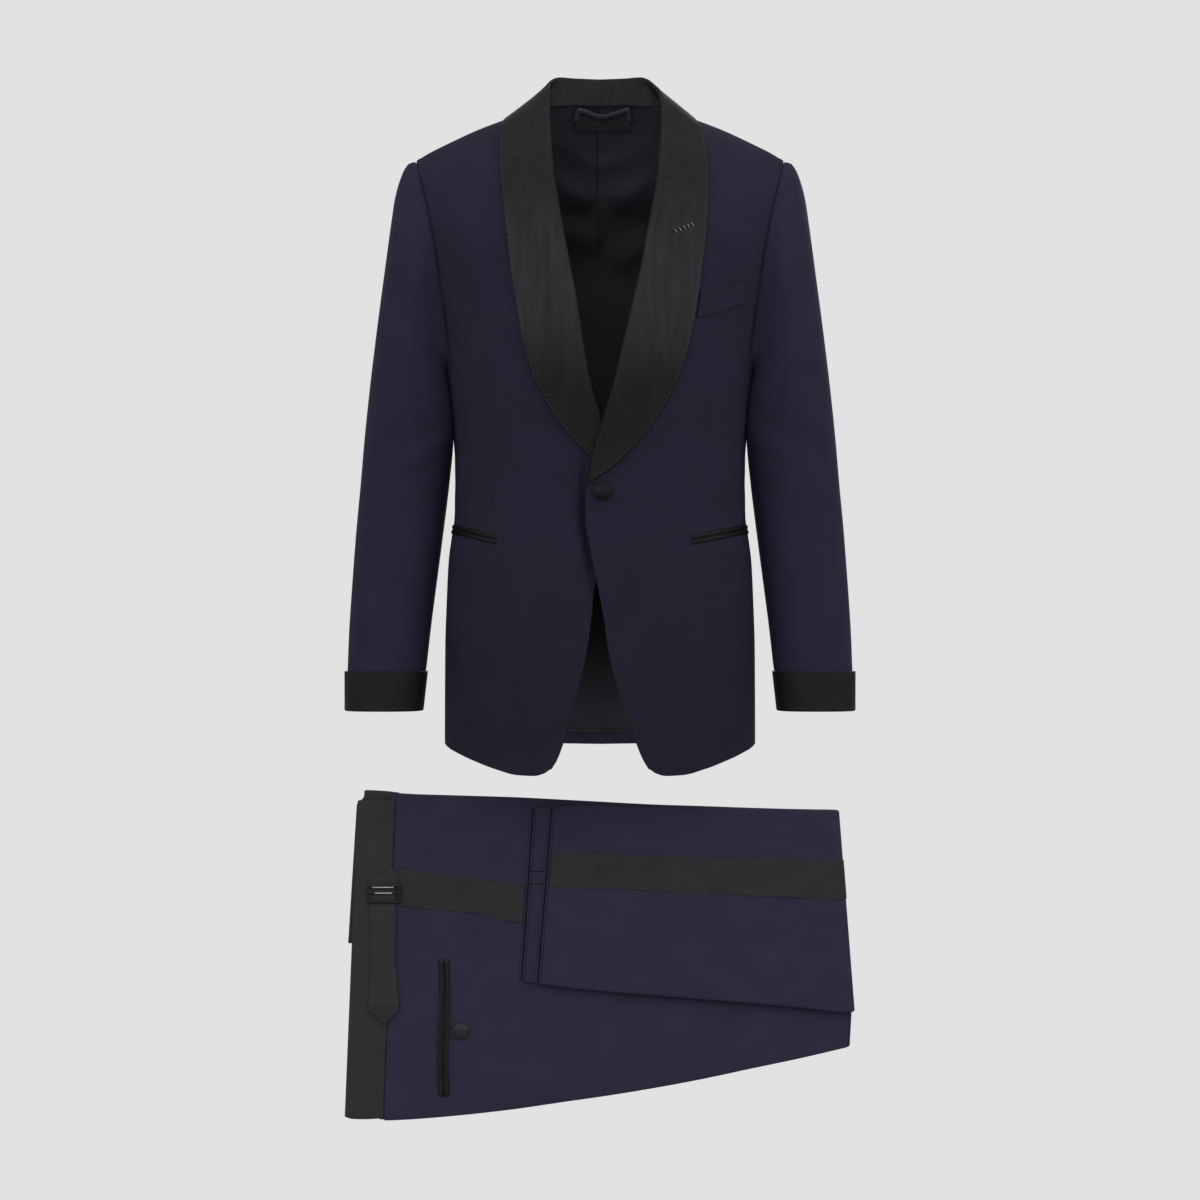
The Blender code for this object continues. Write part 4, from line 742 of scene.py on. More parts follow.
def makeFronts():
    for name, side in sides.items():
        angle, z = frontPlaces(side)
        fields = panelFields(angle, z, side)
        dart = darts[name]
        across = []
        for heights, line in zip(z, fields[0]):
            dartX = curve(dart["z"][::-1], dart["x"][::-1], np.median(heights))
            across.append(np.interp(dartX, np.abs(line[:, 0]), runAlong(line)))
        fields = respace(fields, 1, 92, panelInsets, panelInsets, across, 0.50, darts["beside"])
        fields = respace(fields, 0, 150, panelInsets, panelInsets)
        points = fields[0]
        shape = points.shape[:2]
        x, z = np.abs(points[..., 0]) * np.where(points[..., 0] * side < 0, -1, 1), points[..., 2]
        dips = dipsOf(shape, panelInsets, ["right", "last"], ["left", "first"])
        # the armhole's part of the side edge is drawn in by its seam
        dips = tightenArmhole(dips, points, dipsOf(shape, panelInsets, ["right"], (), ["right"]))
        gap, share = softLine(x, z, together(dart["x"], dart["z"]))
        ends = smoothStep(share * 8) * smoothStep((1 - share) * 30)
        dips += darts["depth"] * hump(gap, darts["width"]) * ends - folds(x, z, frontFolds[name])
        facing = np.linalg.norm(points - points[:, :1], axis=-1) > panel["facing"]
        piece = panelWall("front" + name.title(), fields, dips, panel["cloth"], facing)
        settle(piece, "wool", "lining", nodes=["front_" + name], sheet=panel["sheet"])


# sides and backs: folds are degrees round and z, raised on the left and on the right by so much, with
# so many left out. Inside, a side is lined all over, and a back shows its turned-up hem, which is painted
# lighter than the wool as painted light where the inside is in shade.
roundPanels = {
    "side": {
        "columns": 28, "rows": 110, "seams": ["left", "right"], "free": ["first", "last"],
        "inside": "lining", "insideTo": 9.0, "turnUp": 0.0, "raised": (0.0, 0.0), "leftOut": (0, 0),
        "sheet": {"flat": (0.13, 0.47), "area": 0.051},
        "folds": [
            (0.011, -0.0004, [(74, -0.40), (88, -0.42), (108, -0.43)]),
            (0.010, -0.0004, [(80, -0.45), (95, -0.462), (112, -0.455)]),
            (0.014, 0.0010, [(90, -0.33), (93, -0.37), (97, -0.41)]),
            (0.017, -0.0014, [(100, -0.53), (101, -0.61), (104, -0.69)]),
        ],
    },
    "back": {
        "columns": 46, "rows": 150, "seams": ["left", "right", "last"], "free": ["first"],
        "inside": "hemWoolPaintedLight", "insideTo": 0.034, "turnUp": 0.0012, "raised": (0.006, -0.005),
        "leftOut": (0, 1), "sheet": {"flat": (0.22, 0.79), "area": 0.145},
        "folds": [
            (0.016, -0.0018, [(172, -0.12), (160, -0.15), (146, -0.20)]),
            (0.014, -0.0022, [(150, -0.16), (142, -0.24), (135, -0.32)]),
            (0.013, -0.0016, [(174, -0.40), (162, -0.42), (146, -0.43)]),
            (0.012, -0.0013, [(170, -0.455), (156, -0.47), (140, -0.462)]),
            (0.020, 0.0018, [(165, -0.52), (162, -0.60), (166, -0.69)]),
            (0.017, -0.0020, [(146, -0.50), (143, -0.60), (147, -0.70)]),
            (0.015, 0.0012, [(158, -0.06), (150, -0.09), (140, -0.13)]),
        ],
    },
}


def makeRoundPanels(kind, angle, z):
    table, degree = roundPanels[kind], panel["foldDegree"]
    for name, side in sides.items():
        fields = evenly(panelFields(angle, z, side), table["columns"], table["rows"], panelInsets)
        shape, which = fields[0].shape[:2], 0 if side > 0 else 1
        turn = np.abs(fields[2][..., 0]) / panel["degree"]
        dips = dipsOf(shape, panelInsets, table["seams"], table["free"])
        rows = foldsRound(table["folds"][table["leftOut"][which]:], degree, table["raised"][which])
        dips -= folds(turn * degree, fields[2][..., 1], rows)
        inside = np.linalg.norm(fields[0] - fields[0][:1], axis=-1) < table["insideTo"]
        piece = panelWall(kind + name.title(), fields, dips, panel["cloth"], inside, table["turnUp"])
        settle(piece, "wool", table["inside"], nodes=[kind + "_" + name], sheet=table["sheet"])


makeFronts()
makeRoundPanels("side", *sidePlaces())
makeRoundPanels("back", *backPlaces())
print("jacket panels made")


def stitchRow(name, line, ways, stitch, slant=0.0, finish="thread"):
    # a row of short threads along a line of points, each lying in the cloth
    gap, length, thick = stitch
    bpy.ops.mesh.primitive_uv_sphere_add(segments=8, ring_count=5, radius=0.5)
    seed = bpy.context.object
    shape = np.array([v.co for v in seed.data.vertices]) * (thick, thick, length)
    faces = [list(p.vertices) for p in seed.data.polygons]
    bpy.data.objects.remove(seed)
    gone, ways = runAlong(line), np.broadcast_to(ways, line.shape)
    points, polygons = [], []
    for place in np.arange(gap, gone[-1] - gap / 2, gap):
        middle, way = pointAt(place, gone, line), pointAt(place, gone, ways)
        along = unit(pointAt(place + 0.001, gone, line) - middle)
        along = unit(along + np.cross(way, along) * slant)
        across = unit(np.cross(way, along))
        polygons.extend([[len(points) + v for v in face] for face in faces])
        points.extend(middle + shape @ np.array([across, np.cross(along, across), along]))
    return settle(newPiece(name, [tuple(p) for p in points], polygons), finish)


# back lining, which hangs inside the back with a little ease
backLining = {
    "depth": 0.0030, "cloth": 0.0008, "pleat": 0.0014, "pleatX": -0.0028, "groove": 0.0016,
    "hemMargin": 0.014, "hemFold": 0.0012, "seamMargin": 0.004, "neckMargin": 0.0010,
    "hemFoldUp": 0.0034, "hemFoldWidth": 0.0018, "deepest": -0.0016, "pleatReach": 0.016,
    "pleatEnd": (-0.16, 0.09), "grooveWidth": 0.0009, "grooveEnd": (-0.085, 0.05),
    "edgeRows": (0.0, 0.0004, 0.0016), "stitch": (0.0024, 0.0034, 0.0013),
    "hemRows": (0.0, 0.0004, 0.0008, 0.0012, 0.0018, 0.0024, 0.0030, 0.0038, 0.0048, 0.0064),
    "besidePleat": (-0.0024, -0.0012, -0.0006, 0.0, 0.0006, 0.0012, 0.0024),
    "folds": [
        (0.0085, 0.0032, [(-0.064, 0.004), (-0.030, -0.018), (0.000, -0.028), (0.030, -0.020),
                          (0.066, 0.006)]),
        (0.0120, 0.0052, [(-0.062, -0.040), (-0.032, -0.064), (-0.006, -0.074)]),
        (0.0130, 0.0048, [(0.070, -0.034), (0.042, -0.060), (0.010, -0.076)]),
        (0.0170, 0.0034, [(-0.070, -0.100), (-0.030, -0.112), (0.004, -0.124)]),
        (0.0150, 0.0024, [(0.060, -0.112), (0.038, -0.136), (0.016, -0.150)]),
        (0.0160, 0.0020, [(-0.044, -0.165), (-0.026, -0.200), (-0.016, -0.245)]),
        (0.0140, 0.0018, [(0.040, -0.190), (0.030, -0.225), (0.022, -0.270)]),
        (0.0180, 0.0030, [(-0.090, -0.150), (-0.100, -0.250), (-0.085, -0.350)]),
        (0.0170, 0.0028, [(0.095, -0.160), (0.088, -0.260), (0.100, -0.370)]),
        (0.0140, 0.0020, [(-0.020, -0.580), (-0.026, -0.640), (-0.014, -0.712)]),
        (0.0130, 0.0016, [(0.024, -0.560), (0.018, -0.630), (0.028, -0.705)]),
        (0.0150, 0.0028, [(0.080, -0.540), (0.074, -0.620), (0.082, -0.700)]),
        (0.0150, 0.0030, [(-0.085, -0.530), (-0.078, -0.630), (-0.090, -0.700)]),
    ],
}


def makeLining():
    angle, z = backPlaces()
    left, right = panelFields(angle, z, 1), panelFields(angle, z, -1)
    fields = [np.concatenate([a[:, ::-1], b[:, 1:]], axis=1) for a, b in zip(left, right)]
    pleats = [np.interp(-backLining["pleatX"], -row[:, 0], runAlong(row)) for row in fields[0]]
    seam, neck = [[backLining[key] + d for d in backLining["edgeRows"]]
                  for key in ("seamMargin", "neckMargin")]
    hemRows = [backLining["hemMargin"] + d for d in backLining["hemRows"]]
    fields = respace(fields, 1, 116, seam, seam, pleats, 0.5, backLining["besidePleat"])
    points, ways, flat = respace(fields, 0, 150, hemRows, neck)
    x, z = points[..., 0], points[..., 2]
    rise = backLining["depth"] + np.maximum(folds(x, z, backLining["folds"]), backLining["deepest"])
    # the ease pleat down the centre back: one side lies over the other
    beside = x - backLining["pleatX"]
    fade, dies = [smoothStep((z - end) / reach) for end, reach in (backLining["pleatEnd"],
                                                                   backLining["grooveEnd"])]
    pleat = np.where(beside < -0.0001, 0.0, 1.0) * np.exp(-np.maximum(x, 0) / backLining["pleatReach"])
    rise = rise + backLining["pleat"] * pleat * fade
    rise = rise - backLining["groove"] * hump(beside, backLining["grooveWidth"]) * dies
    # the hem's ease hangs as a small rounded fold over the turned-up wool
    upHem = np.linalg.norm(points - points[:1], axis=-1)
    rise = rise + backLining["hemFold"] * hump(upHem - backLining["hemFoldUp"], backLining["hemFoldWidth"])
    outer = points - ways * rise[..., None]
    piece = clothWall("backLining", outer, outer - ways * backLining["cloth"], flat)
    settle(piece, "lining", nodes=["back_lining"], sheet={"flat": (0.45, 0.76), "area": 0.274})
    # felled down along its hem with close black stitches, whose dark line also paints the shadow under the
    # hem fold
    stitchRow("liningHemStitchesShadowLine", outer[0, 3:-3], -ways[0, 3:-3], backLining["stitch"], finish="hemTape")


makeLining()


# shawl collar: the stand, the fold and the fall round the neck, then the two lapels
collar = {
    "rollXLeft": [0.000, 0.030, 0.0515, 0.0625, 0.0725],
    "rollXRight": [0.000, 0.030, 0.0515, 0.0605, 0.0612],
    "rollY": [0.0600, 0.0535, 0.0360, 0.0120, -0.0140],
    "rollZ": [0.0656, 0.0657, 0.0640, 0.0532, 0.0340],
    "edgeX": [0.000, 0.042, 0.080, 0.1030, 0.1130],
    "drop": [-0.0458, -0.0290, -0.0170, -0.0040, 0.0120],
    "footX": [0.000, 0.034, 0.060, 0.0790, 0.0795],
    "lift": [0.0006, 0.0009, 0.0016, 0.0034, 0.0030],
    "cloth": 0.0022, "above": 0.0008, "foldRadius": 0.0026, "swell": 0.0004, "foldWidth": 0.0046,
    "lapelAbove": 0.0017, "frontCloth": 0.0020, "behind": 0.0013, "edgeLift": 0.0013,
    "hook": (0.002, 0.0035, 0.009), "edgeRadius": 0.0009, "stitchIn": 0.0027, "stitchDip": 0.00035,
    "stitchWidth": 0.0006, "stitch": (0.0058, 0.0026, 0.0006), "columnsRound": np.linspace(-1, 1, 11),
    "leastWidth": 0.0012, "leastHook": 0.001, "hookShare": 0.7, "leastSpan": 0.004,
    "footBehind": 0.0042, "footDown": 0.0006, "footBeside": (-0.0030, 0, 0.0018),
    "sheet": {"flat": (0.13, 0.62), "area": 0.050},
}


def frontPoint(x, z, side, out):
    angle = angleAt(x, z)
    away = out + lapOut(np.asarray(x, float), z, side)
    point = bodyPoint(angle, z) + bodyNormal(angle, z) * np.asarray(away)[..., None]
    return point * (side, 1, 1)


foldTurns = np.radians(np.arange(-90, 91, 15))
standShares, fallShares = np.linspace(0, 1, 9)[:-1], np.linspace(0, 1, 25)[1:]


def lapelSection(lapel, station, side):
    # behind the front's edge, round the fold and out over the front
    rollX, rollZ, edgeX, edgeZ = [float(curve(range(len(lapel[key])), lapel[key], station))
                                  for key in ("rollX", "rollZ", "edgeX", "edgeZ")]
    behind = -collar["frontCloth"] - collar["behind"] - collar["cloth"] / 2
    above = collar["lapelAbove"] + collar["cloth"] / 2
    middle, half = (above + behind) / 2, (above - behind) / 2
    foldX = rollX + collar["cloth"] / 2 + half
    width = max(edgeX - foldX, collar["leastWidth"])
    start, step, most = collar["hook"]
    hook = min(start + step * station, most, max(collar["hookShare"] * width, collar["leastHook"]))
    slope = (edgeZ - rollZ) / max(edgeX - rollX, collar["leastSpan"])
    section = [(foldX + hook * (1 - k), behind) for k in standShares]
    section += [(foldX - half * math.cos(turn), middle + half * math.sin(turn)) for turn in foldTurns]
    section += [(foldX + width * k, above + collar["edgeLift"] * k * k) for k in fallShares]
    x, out = np.array(section).T
    return frontPoint(x, rollZ + (x - rollX) * slope, side, out)


def collarSection(i, side):
    # up the stand, round the fold and down the fall over the shoulders
    rollX = collar["rollXLeft" if side > 0 else "rollXRight"][i]
    roll = np.array([rollX * side, collar["rollY"][i], collar["rollZ"][i]])
    x, drop = collar["edgeX"][i], collar["drop"][i]
    z = float(shoulderHeight(x)) - abs(drop)
    angle = angleAt(max(x, 1e-6), z, back=drop < 0)
    lift = collar["above"] + collar["cloth"] / 2 + collar["lift"][i]
    edge = (bodyPoint(angle, z) + bodyNormal(angle, z) * lift) * (side, 1, 1)
    footX = collar["footX"][i]
    if drop < 0:
        footZ = float(curve(backNeck["x"], backNeck["z"], footX)) - 1e-5
        foot = bodyPoint(angleAt(max(footX, 1e-6), footZ, back=True), footZ)
    else:
        footZ = float(shoulderHeight(footX)) - drop
        foot = bodyPoint(angleAt(footX, footZ), footZ)
    # at the back the stand's foot lies over the lining's neck edge
    behind = bodyNormal(angleAt(max(footX, 1e-6), footZ, back=True), footZ) * -collar["footBehind"]
    inward = np.array(collar["footBeside"]) if i >= 3 else behind - (0, 0, collar["footDown"])
    foot = (foot + inward) * (side, 1, 1)
    out, up = unit(edge - foot), unit(roll - foot)
    radius = collar["foldRadius"]
    centre = roll - up * radius
    first, last = centre - out * radius, centre + out * radius
    section = [foot + (first - foot) * k for k in standShares]
    section += [centre + radius * (up * math.cos(turn) + out * math.sin(turn)) for turn in foldTurns]
    section += [last + (edge - last) * k + (out + up) * collar["swell"] * 4 * k * (1 - k)
                for k in fallShares]
    return section


def makeCollars():
    edge = roundInsets(collar["edgeRadius"])
    insets = edge + [0.0018, collar["stitchIn"], 0.0036]
    foldColumn = len(standShares) + len(foldTurns) // 2
    for name, side in sides.items():
        neck = [collarSection(i, side) for i in range(5)]
        controls = np.array(neck + [lapelSection(lapels[name], k, side) for k in (0, 1)])
        upper = through(controls, np.linspace(0, 5, 46)[:-1])
        front = np.array([lapelSection(lapels[name], k, side) for k in np.linspace(0, 12, 130)])
        grid = np.concatenate([upper, front])
        ways = gridDirections(grid)
        ways *= -np.sign(ways[80, -8, 1])
        ways[0, :, 0] = 0.0
        fields = respace([grid, ways, grid[..., [0, 2]]], 0, 150, [0.0], edge)
        # columns close together round the fold and at the outer edge
        foldAt = [runAlong(row)[foldColumn] for row in fields[0]]
        fields = respace(fields, 1, 38, edge, insets, foldAt, 0.26,
                         collar["columnsRound"] * collar["foldWidth"])
        points, ways, flat = fields
        ways = unit(ways)
        shape, radius = points.shape[:2], collar["edgeRadius"]
        drop = np.maximum(edgeDrops(shape, insets, ["right"], radius),
                          edgeDrops(shape, edge, ["left", "last"], radius))
        span = edgeSpans(shape, insets, ["right"])["right"]
        groove = collar["stitchDip"] * hump(span - collar["stitchIn"], collar["stitchWidth"])
        half = collar["cloth"] / 2
        outer = points + ways * (half - drop - groove)[..., None]
        inner = points - ways * (half - drop)[..., None]
        outer[0, :, 0] = inner[0, :, 0] = 0.0
        piece = clothWall("collar" + name.title(), outer, inner, flat)
        settle(piece, "lapel", nodes=["collar_" + name], sheet=collar["sheet"])
        column = shape[1] - 1 - insets.index(collar["stitchIn"])
        line = (outer[:, column] + ways[:, column] * 0.0001)[6:-4]
        stitchRow("lapelStitches" + name.title(), line, ways[6:-4, column], collar["stitch"])


makeCollars()
print("lining and shawl collar made")


# sleeves: slanted sections from the armhole to the cuff, in a top and an under piece
sleeve = {
    "inX": [0.1845, 0.1850, 0.1852, 0.1855, 0.1858, 0.1855, 0.1840, 0.1812, 0.1781, 0.1739,
            0.1779, 0.1859, 0.1976, 0.2030, 0.2048, 0.2085],
    "inZ": [-0.2890, -0.2903, -0.2915, -0.2935, -0.2960, -0.2990, -0.3050, -0.3150, -0.3330,
            -0.3720, -0.4200, -0.4847, -0.5788, -0.6300, -0.6420, -0.6822],
    "outX": [0.2185, 0.2280, 0.2350, 0.2424, 0.2488, 0.2547, 0.2606, 0.2665, 0.2720, 0.2770,
             0.2817, 0.2876, 0.2935, 0.2952, 0.2954, 0.2952],
    "outZ": [-0.0375, -0.0425, -0.0545, -0.0847, -0.1318, -0.1788, -0.2259, -0.2729, -0.3200,
             -0.3671, -0.4200, -0.4847, -0.5788, -0.6300, -0.6400, -0.6822],
    "middleY": [0.004, 0.003, 0.002, 0.001, 0.001, 0.002, 0.002, 0.003, 0.004, 0.006,
                0.008, 0.007, -0.005, -0.013, -0.015, -0.021],
    "depth": [0.066, 0.068, 0.070, 0.072, 0.073, 0.073, 0.072, 0.071, 0.069, 0.067,
              0.064, 0.060, 0.052, 0.047, 0.0465, 0.0455],
    "armhole": [1.00, 0.82, 0.62, 0.38, 0.20, 0.10, 0.04, 0, 0, 0, 0, 0, 0, 0, 0, 0],
    "boxy": [2.0, 2.0, 2.02, 2.05, 2.1, 2.15, 2.2, 2.28, 2.36, 2.42, 2.46, 2.48, 2.5, 2.5, 2.5, 2.5],
    "topTurns": (-60, 160), "underTurns": (160, 300), "cloth": 0.0018, "fullness": 0.0007,
    "topCut": {"flat": (0.27, 0.66), "area": 0.120}, "underCut": {"flat": (0.17, 0.50), "area": 0.062},
    # under the armhole the inside of the sleeve is pressed against the body
    "pressZ": [-0.404, -0.382, -0.362, -0.338, -0.300, -0.284, -0.264],
    "press": [0.0, 0.0016, 0.0082, 0.0130, 0.0120, 0.0085, 0.0],
    "pressTurn": 148, "pressWidth": 27, "offBody": 0.0014, "freeOfBody": (-0.268, 0.02),
    # metres of cloth for a degree round the sleeve, in the flat cloth and where folds are placed
    "step": 2.0, "degree": 0.00105, "foldDegree": 0.00095, "headTurn": 60, "headDown": (0.007, 0.005),
    "leftFolds": (0.008, 0.85), "columns": {"top": 52, "under": 24},
}
# folds of the sleeves, as degrees round and z
sleeveFolds = [
    (0.013, -0.0022, [(70, -0.10), (62, -0.20), (72, -0.31)]),
    (0.011, -0.0020, [(110, -0.13), (100, -0.22), (112, -0.30)]),
    (0.016, 0.0010, [(30, -0.09), (34, -0.17), (26, -0.26)]),
    (0.011, -0.0022, [(150, -0.345), (110, -0.365), (70, -0.392)]),
    (0.010, -0.0019, [(160, -0.385), (118, -0.402), (80, -0.418)]),
    (0.011, -0.0016, [(170, -0.425), (130, -0.436), (98, -0.462)]),
    (0.014, 0.0011, [(60, -0.46), (52, -0.54), (60, -0.62)]),
    (0.011, -0.0014, [(95, -0.49), (88, -0.56), (96, -0.63)]),
    (0.014, -0.0019, [(-40, -0.11), (-48, -0.20), (-40, -0.30)]),
    (0.013, -0.0016, [(-70, -0.36), (-45, -0.40), (-30, -0.45)]),
    (0.013, 0.0013, [(-60, -0.48), (-55, -0.56), (-62, -0.63)]),
    (0.013, -0.0016, [(200, -0.33), (215, -0.40), (205, -0.48)]),
]


def armholeLoop():
    line = []
    for z in np.linspace(armhole["shoulderZ"], panel["seamTops"][0], 40):
        line.append(bodyPoint(angleAt(curve(armhole["frontZ"], armhole["frontX"], z), z), z))
    for angle in np.linspace(panel["frontSeam"][0] + 1, panel["backSeam"][0] - 1, 40):
        line.append(bodyPoint(angle, curve(armhole["baseAngle"], armhole["baseZ"], angle)))
    for z in np.linspace(panel["seamTops"][1], armhole["shoulderZ"], 40)[:-1]:
        line.append(bodyPoint(angleAt(curve(armhole["backZ"], armhole["backX"], z), z, back=True), z))
    line = np.array(line)
    # each point's degrees round from the top towards the front
    forward = -(line[:, 1] - armhole["middle"][0]) / armhole["radii"][0]
    upward = (line[:, 2] - armhole["middle"][1]) / armhole["radii"][1]
    turn = np.degrees(np.arctan2(forward, upward)) % 360
    turn[0] = 0.0
    order = np.argsort(turn)
    return turn[order], line[order]


def sleeveFields(side, turns, rows=150):
    # points of the sleeve at degrees round from its outer line towards the front
    at = np.linspace(0, 15, rows)
    values = {key: through(np.array(sleeve[key])[:, None], at)[:, 0]
              for key in ("inX", "inZ", "outX", "outZ", "middleY", "depth", "armhole", "boxy")}
    loopTurns, loop = armholeLoop()
    degrees = np.asarray(turns, float)
    alpha = np.radians(degrees)[None, :]
    inner, outer = [together(values[end + "X"], values["middleY"], values[end + "Z"])[:, None]
                    for end in ("in", "out")]
    forward = values["depth"][:, None, None] * np.array([0, -1, 0])
    power = 2 / values["boxy"][:, None]
    across, ahead = [np.sign(k) * np.abs(k) ** power for k in (np.cos(alpha), np.sin(alpha))]
    grid = ((inner + outer) / 2 + (outer - inner) / 2 * across[..., None]
            + forward * ahead[..., None])
    onLoop = pointAt(degrees % 360, loopTurns, loop, period=360)
    onLoop[:, 0] += armhole["ease"]
    grid = grid + (onLoop - grid[0])[None] * np.clip(values["armhole"], 0, 1)[:, None, None]
    y, z = grid[..., 1], grid[..., 2]
    press = curve(sleeve["pressZ"], sleeve["press"], z)
    near = hump((degrees % 360)[None, :] - sleeve["pressTurn"], sleeve["pressWidth"])
    grid[..., 0] -= press * near
    depth = curve(bodyShape["z"], bodyShape["front"], z)
    beside = 1 - np.minimum(np.abs(y) / depth, 1) ** bodyShape["roundness"]
    limit = curve(bodyShape["z"], bodyShape["halfWidth"], z) * beside ** (1 / bodyShape["roundness"])
    free = smoothStep((sleeve["freeOfBody"][0] - z) / sleeve["freeOfBody"][1])
    grid[..., 0] = np.maximum(grid[..., 0], (limit + sleeve["offBody"]) * free)
    return grid * (side, 1, 1)


def makeSleeves():
    step, degree = sleeve["step"], sleeve["foldDegree"]
    around = np.arange(-110, 252, step)
    for name, side in sides.items():
        whole = sleeveFields(side, around)
        ways = gridDirections(whole)
        ways *= np.sign(np.sum(ways * (whole - whole.mean(axis=1, keepdims=True))))
        for kind, columns in sleeve["columns"].items():
            low, high = sleeve[kind + "Turns"]
            turns = np.arange(low, high + 1, step)
            grid = sleeveFields(side, turns)
            pick = ((np.where(turns > around[-1], turns - 360, turns) - around[0]) / step).astype(int)
            flat = together(turns * sleeve["degree"], grid[..., 2])
            points, way, flat = evenly([grid, ways[:, pick], flat], columns, 130, panelInsets)
            shape = points.shape[:2]
            dips = dipsOf(shape, panelInsets, ["left", "right", "first"], ["last"], ["first"])
            turns = flat[..., 0] / sleeve["degree"]
            # the left sleeve's folds lie a little higher and are softer
            rows = foldsRound(sleeveFolds, degree, *(sleeve["leftFolds"] if side > 0 else ()))
            dips -= folds(turns * degree, flat[..., 1], rows)
            if kind == "top":
                # the head is eased in, so it stands a little proud of the armhole seam
                down, width = sleeve["headDown"]
                gone = np.linalg.norm(points - points[:1], axis=-1)
                dips -= sleeve["fullness"] * hump(turns, sleeve["headTurn"]) * hump(gone - down, width)
            piece = panelWall(kind + "Sleeve" + name.title(), [points, unit(way), flat], dips,
                              sleeve["cloth"], np.ones(shape, int))
            settle(piece, "sleeveWoolPaintedLighter", "lining", nodes=[f"{kind}_sleeve_{name}"],
                   sheet=sleeve[kind + "Cut"])


makeSleeves()


# the seam's allowance, bound with lining inside, as x and how far inside the seam it reaches
binding = {"profile": ((-0.0060, 0.0030), (-0.0026, 0.0027), (0.0010, 0.0027), (0.0046, 0.0030)),
           "cloth": 0.0009, "degree": 0.0016}


def makeArmholeBinding():
    at = np.arange(0, 360, 3.0)
    ring = pointAt(at, *armholeLoop(), period=360)
    inward = unit((ring.mean(axis=0) - ring) * (0, 1, 1))
    for name, side in sides.items():
        outer = np.array([ring + (x, 0, 0) + inward * depth for x, depth in binding["profile"]])
        outer = outer * (side, 1, 1)
        inner = outer + (inward * binding["cloth"]) * (side, 1, 1)
        flat = together(at * binding["degree"], outer[..., 0])
        settle(clothWall("armholeBinding" + name.title(), outer, inner, flat, wrap=True), "wool", "lining")


makeArmholeBinding()

cuff = {"top": -0.6382, "end": -0.6844, "gap": 0.0004, "cloth": 0.0024, "corner": 0.0016,
        "inside": 0.0046, "insideTop": -0.664, "flare": 0.0005, "wall": 0.0010, "degree": 0.00085,
        "notchTurn": -8, "notchWidth": 12, "notch": 0.0046, "proud": 0.0010, "underTop": 0.0012,
        "freeEdge": ((0.0002, 0.0005), (0.0008, 0.0001), (0.0016, 0.0)),
        "stitchZ": -0.6793, "stitch": (0.0048, 0.0024, 0.0005)}


def cuffProfile():
    # down inside the sleeve, round the folded end and up outside to the free edge, as the way out,
    # the height and the share of the way up the outside
    inside, outside = -cuff["inside"], cuff["gap"] + cuff["cloth"]
    low, corner, flared = cuff["end"], cuff["corner"], outside + cuff["flare"]
    profile = [(inside, z, 0.0) for z in np.linspace(cuff["insideTop"], low + corner, 8)]
    for place, start in ((inside + corner, 180), (outside - corner, 270)):
        profile += [(place + corner * math.cos(turn), low + corner + corner * math.sin(turn), 0.0)
                    for turn in np.radians(np.arange(start + 15, start + 90, 15))]
        if start == 180:
            profile += [(k, low, 0.0) for k in np.linspace(inside + corner, outside - corner, 6)]
    for z in np.linspace(low + corner, cuff["top"] - cuff["underTop"], 18):
        share = (z - low) / (cuff["top"] - low)
        profile.append((outside + cuff["flare"] * share, z, share))
    return profile + [(flared - back, cuff["top"] - down, 1.0) for back, down in cuff["freeEdge"]]


def makeCuffs():
    turns = np.arange(0, 360, 4.0)
    away = np.abs(turns - cuff["notchTurn"]) % 360
    away = np.minimum(away, 360 - away)
    notch = cuff["notch"] * np.clip(1 - away / cuff["notchWidth"], 0, 1)
    outerSide = 0.5 + 0.5 * np.cos(np.radians(turns))
    for name, side in sides.items():
        rings = sleeveFields(side, turns)
        last, before = rings[-1], rings[-12]
        way = unit((last - last.mean(axis=0)) * (1, 1, 0))
        grid = []
        for out, z, share in cuffProfile():
            z = z - notch * share ** 6
            place = (z - before[:, 2]) / (last[:, 2] - before[:, 2])
            lift = out + (cuff["proud"] * (outerSide - 0.6) if out > 0 else 0.0)
            ring = before + (last - before) * place[:, None] + way * np.atleast_1d(lift)[:, None]
            ring[:, 2] = z
            grid.append(ring)
        grid = np.array(grid)
        ways = gridDirections(grid, wrap=True)
        ways *= np.sign(np.sum(ways[26:32] * way[None]))
        flat = together(turns * cuff["degree"], grid[..., 2])
        piece = clothWall("cuff" + name.title(), grid, grid - ways * cuff["wall"], flat, wrap=True)
        settle(piece, "cuff", nodes=["cuff_" + name], sheet={"flat": (0.31, 0.07)})
        row = 24 + int(np.argmin(np.abs(grid[24:-3, 0, 2] - cuff["stitchZ"])))
        line, way = [np.concatenate([ring, ring[:1]])
                     for ring in (grid[row] + ways[row] * 0.0001, ways[row])]
        stitchRow("cuffStitches" + name.title(), line, way, cuff["stitch"])


makeCuffs()
print("sleeves and cuffs made")


# small pieces of the jacket
pockets = {
    "left": {"x": [0.1040, 0.1703], "z": [-0.4868, -0.4735], "angle": 91.0},
    "right": {"x": [-0.1190, -0.1703], "z": [-0.4862, -0.4735], "angle": 94.0},
    "above": 0.0005, "jet": 0.0024, "jetHeight": 0.0010, "slit": 0.0007, "reach": 0.0054, "under": 0.0004,
    "waves": 9, "waviness": 0.14, "flatEnd": 0.12, "innerEnd": 0.02, "outerEnd": 0.10,
}


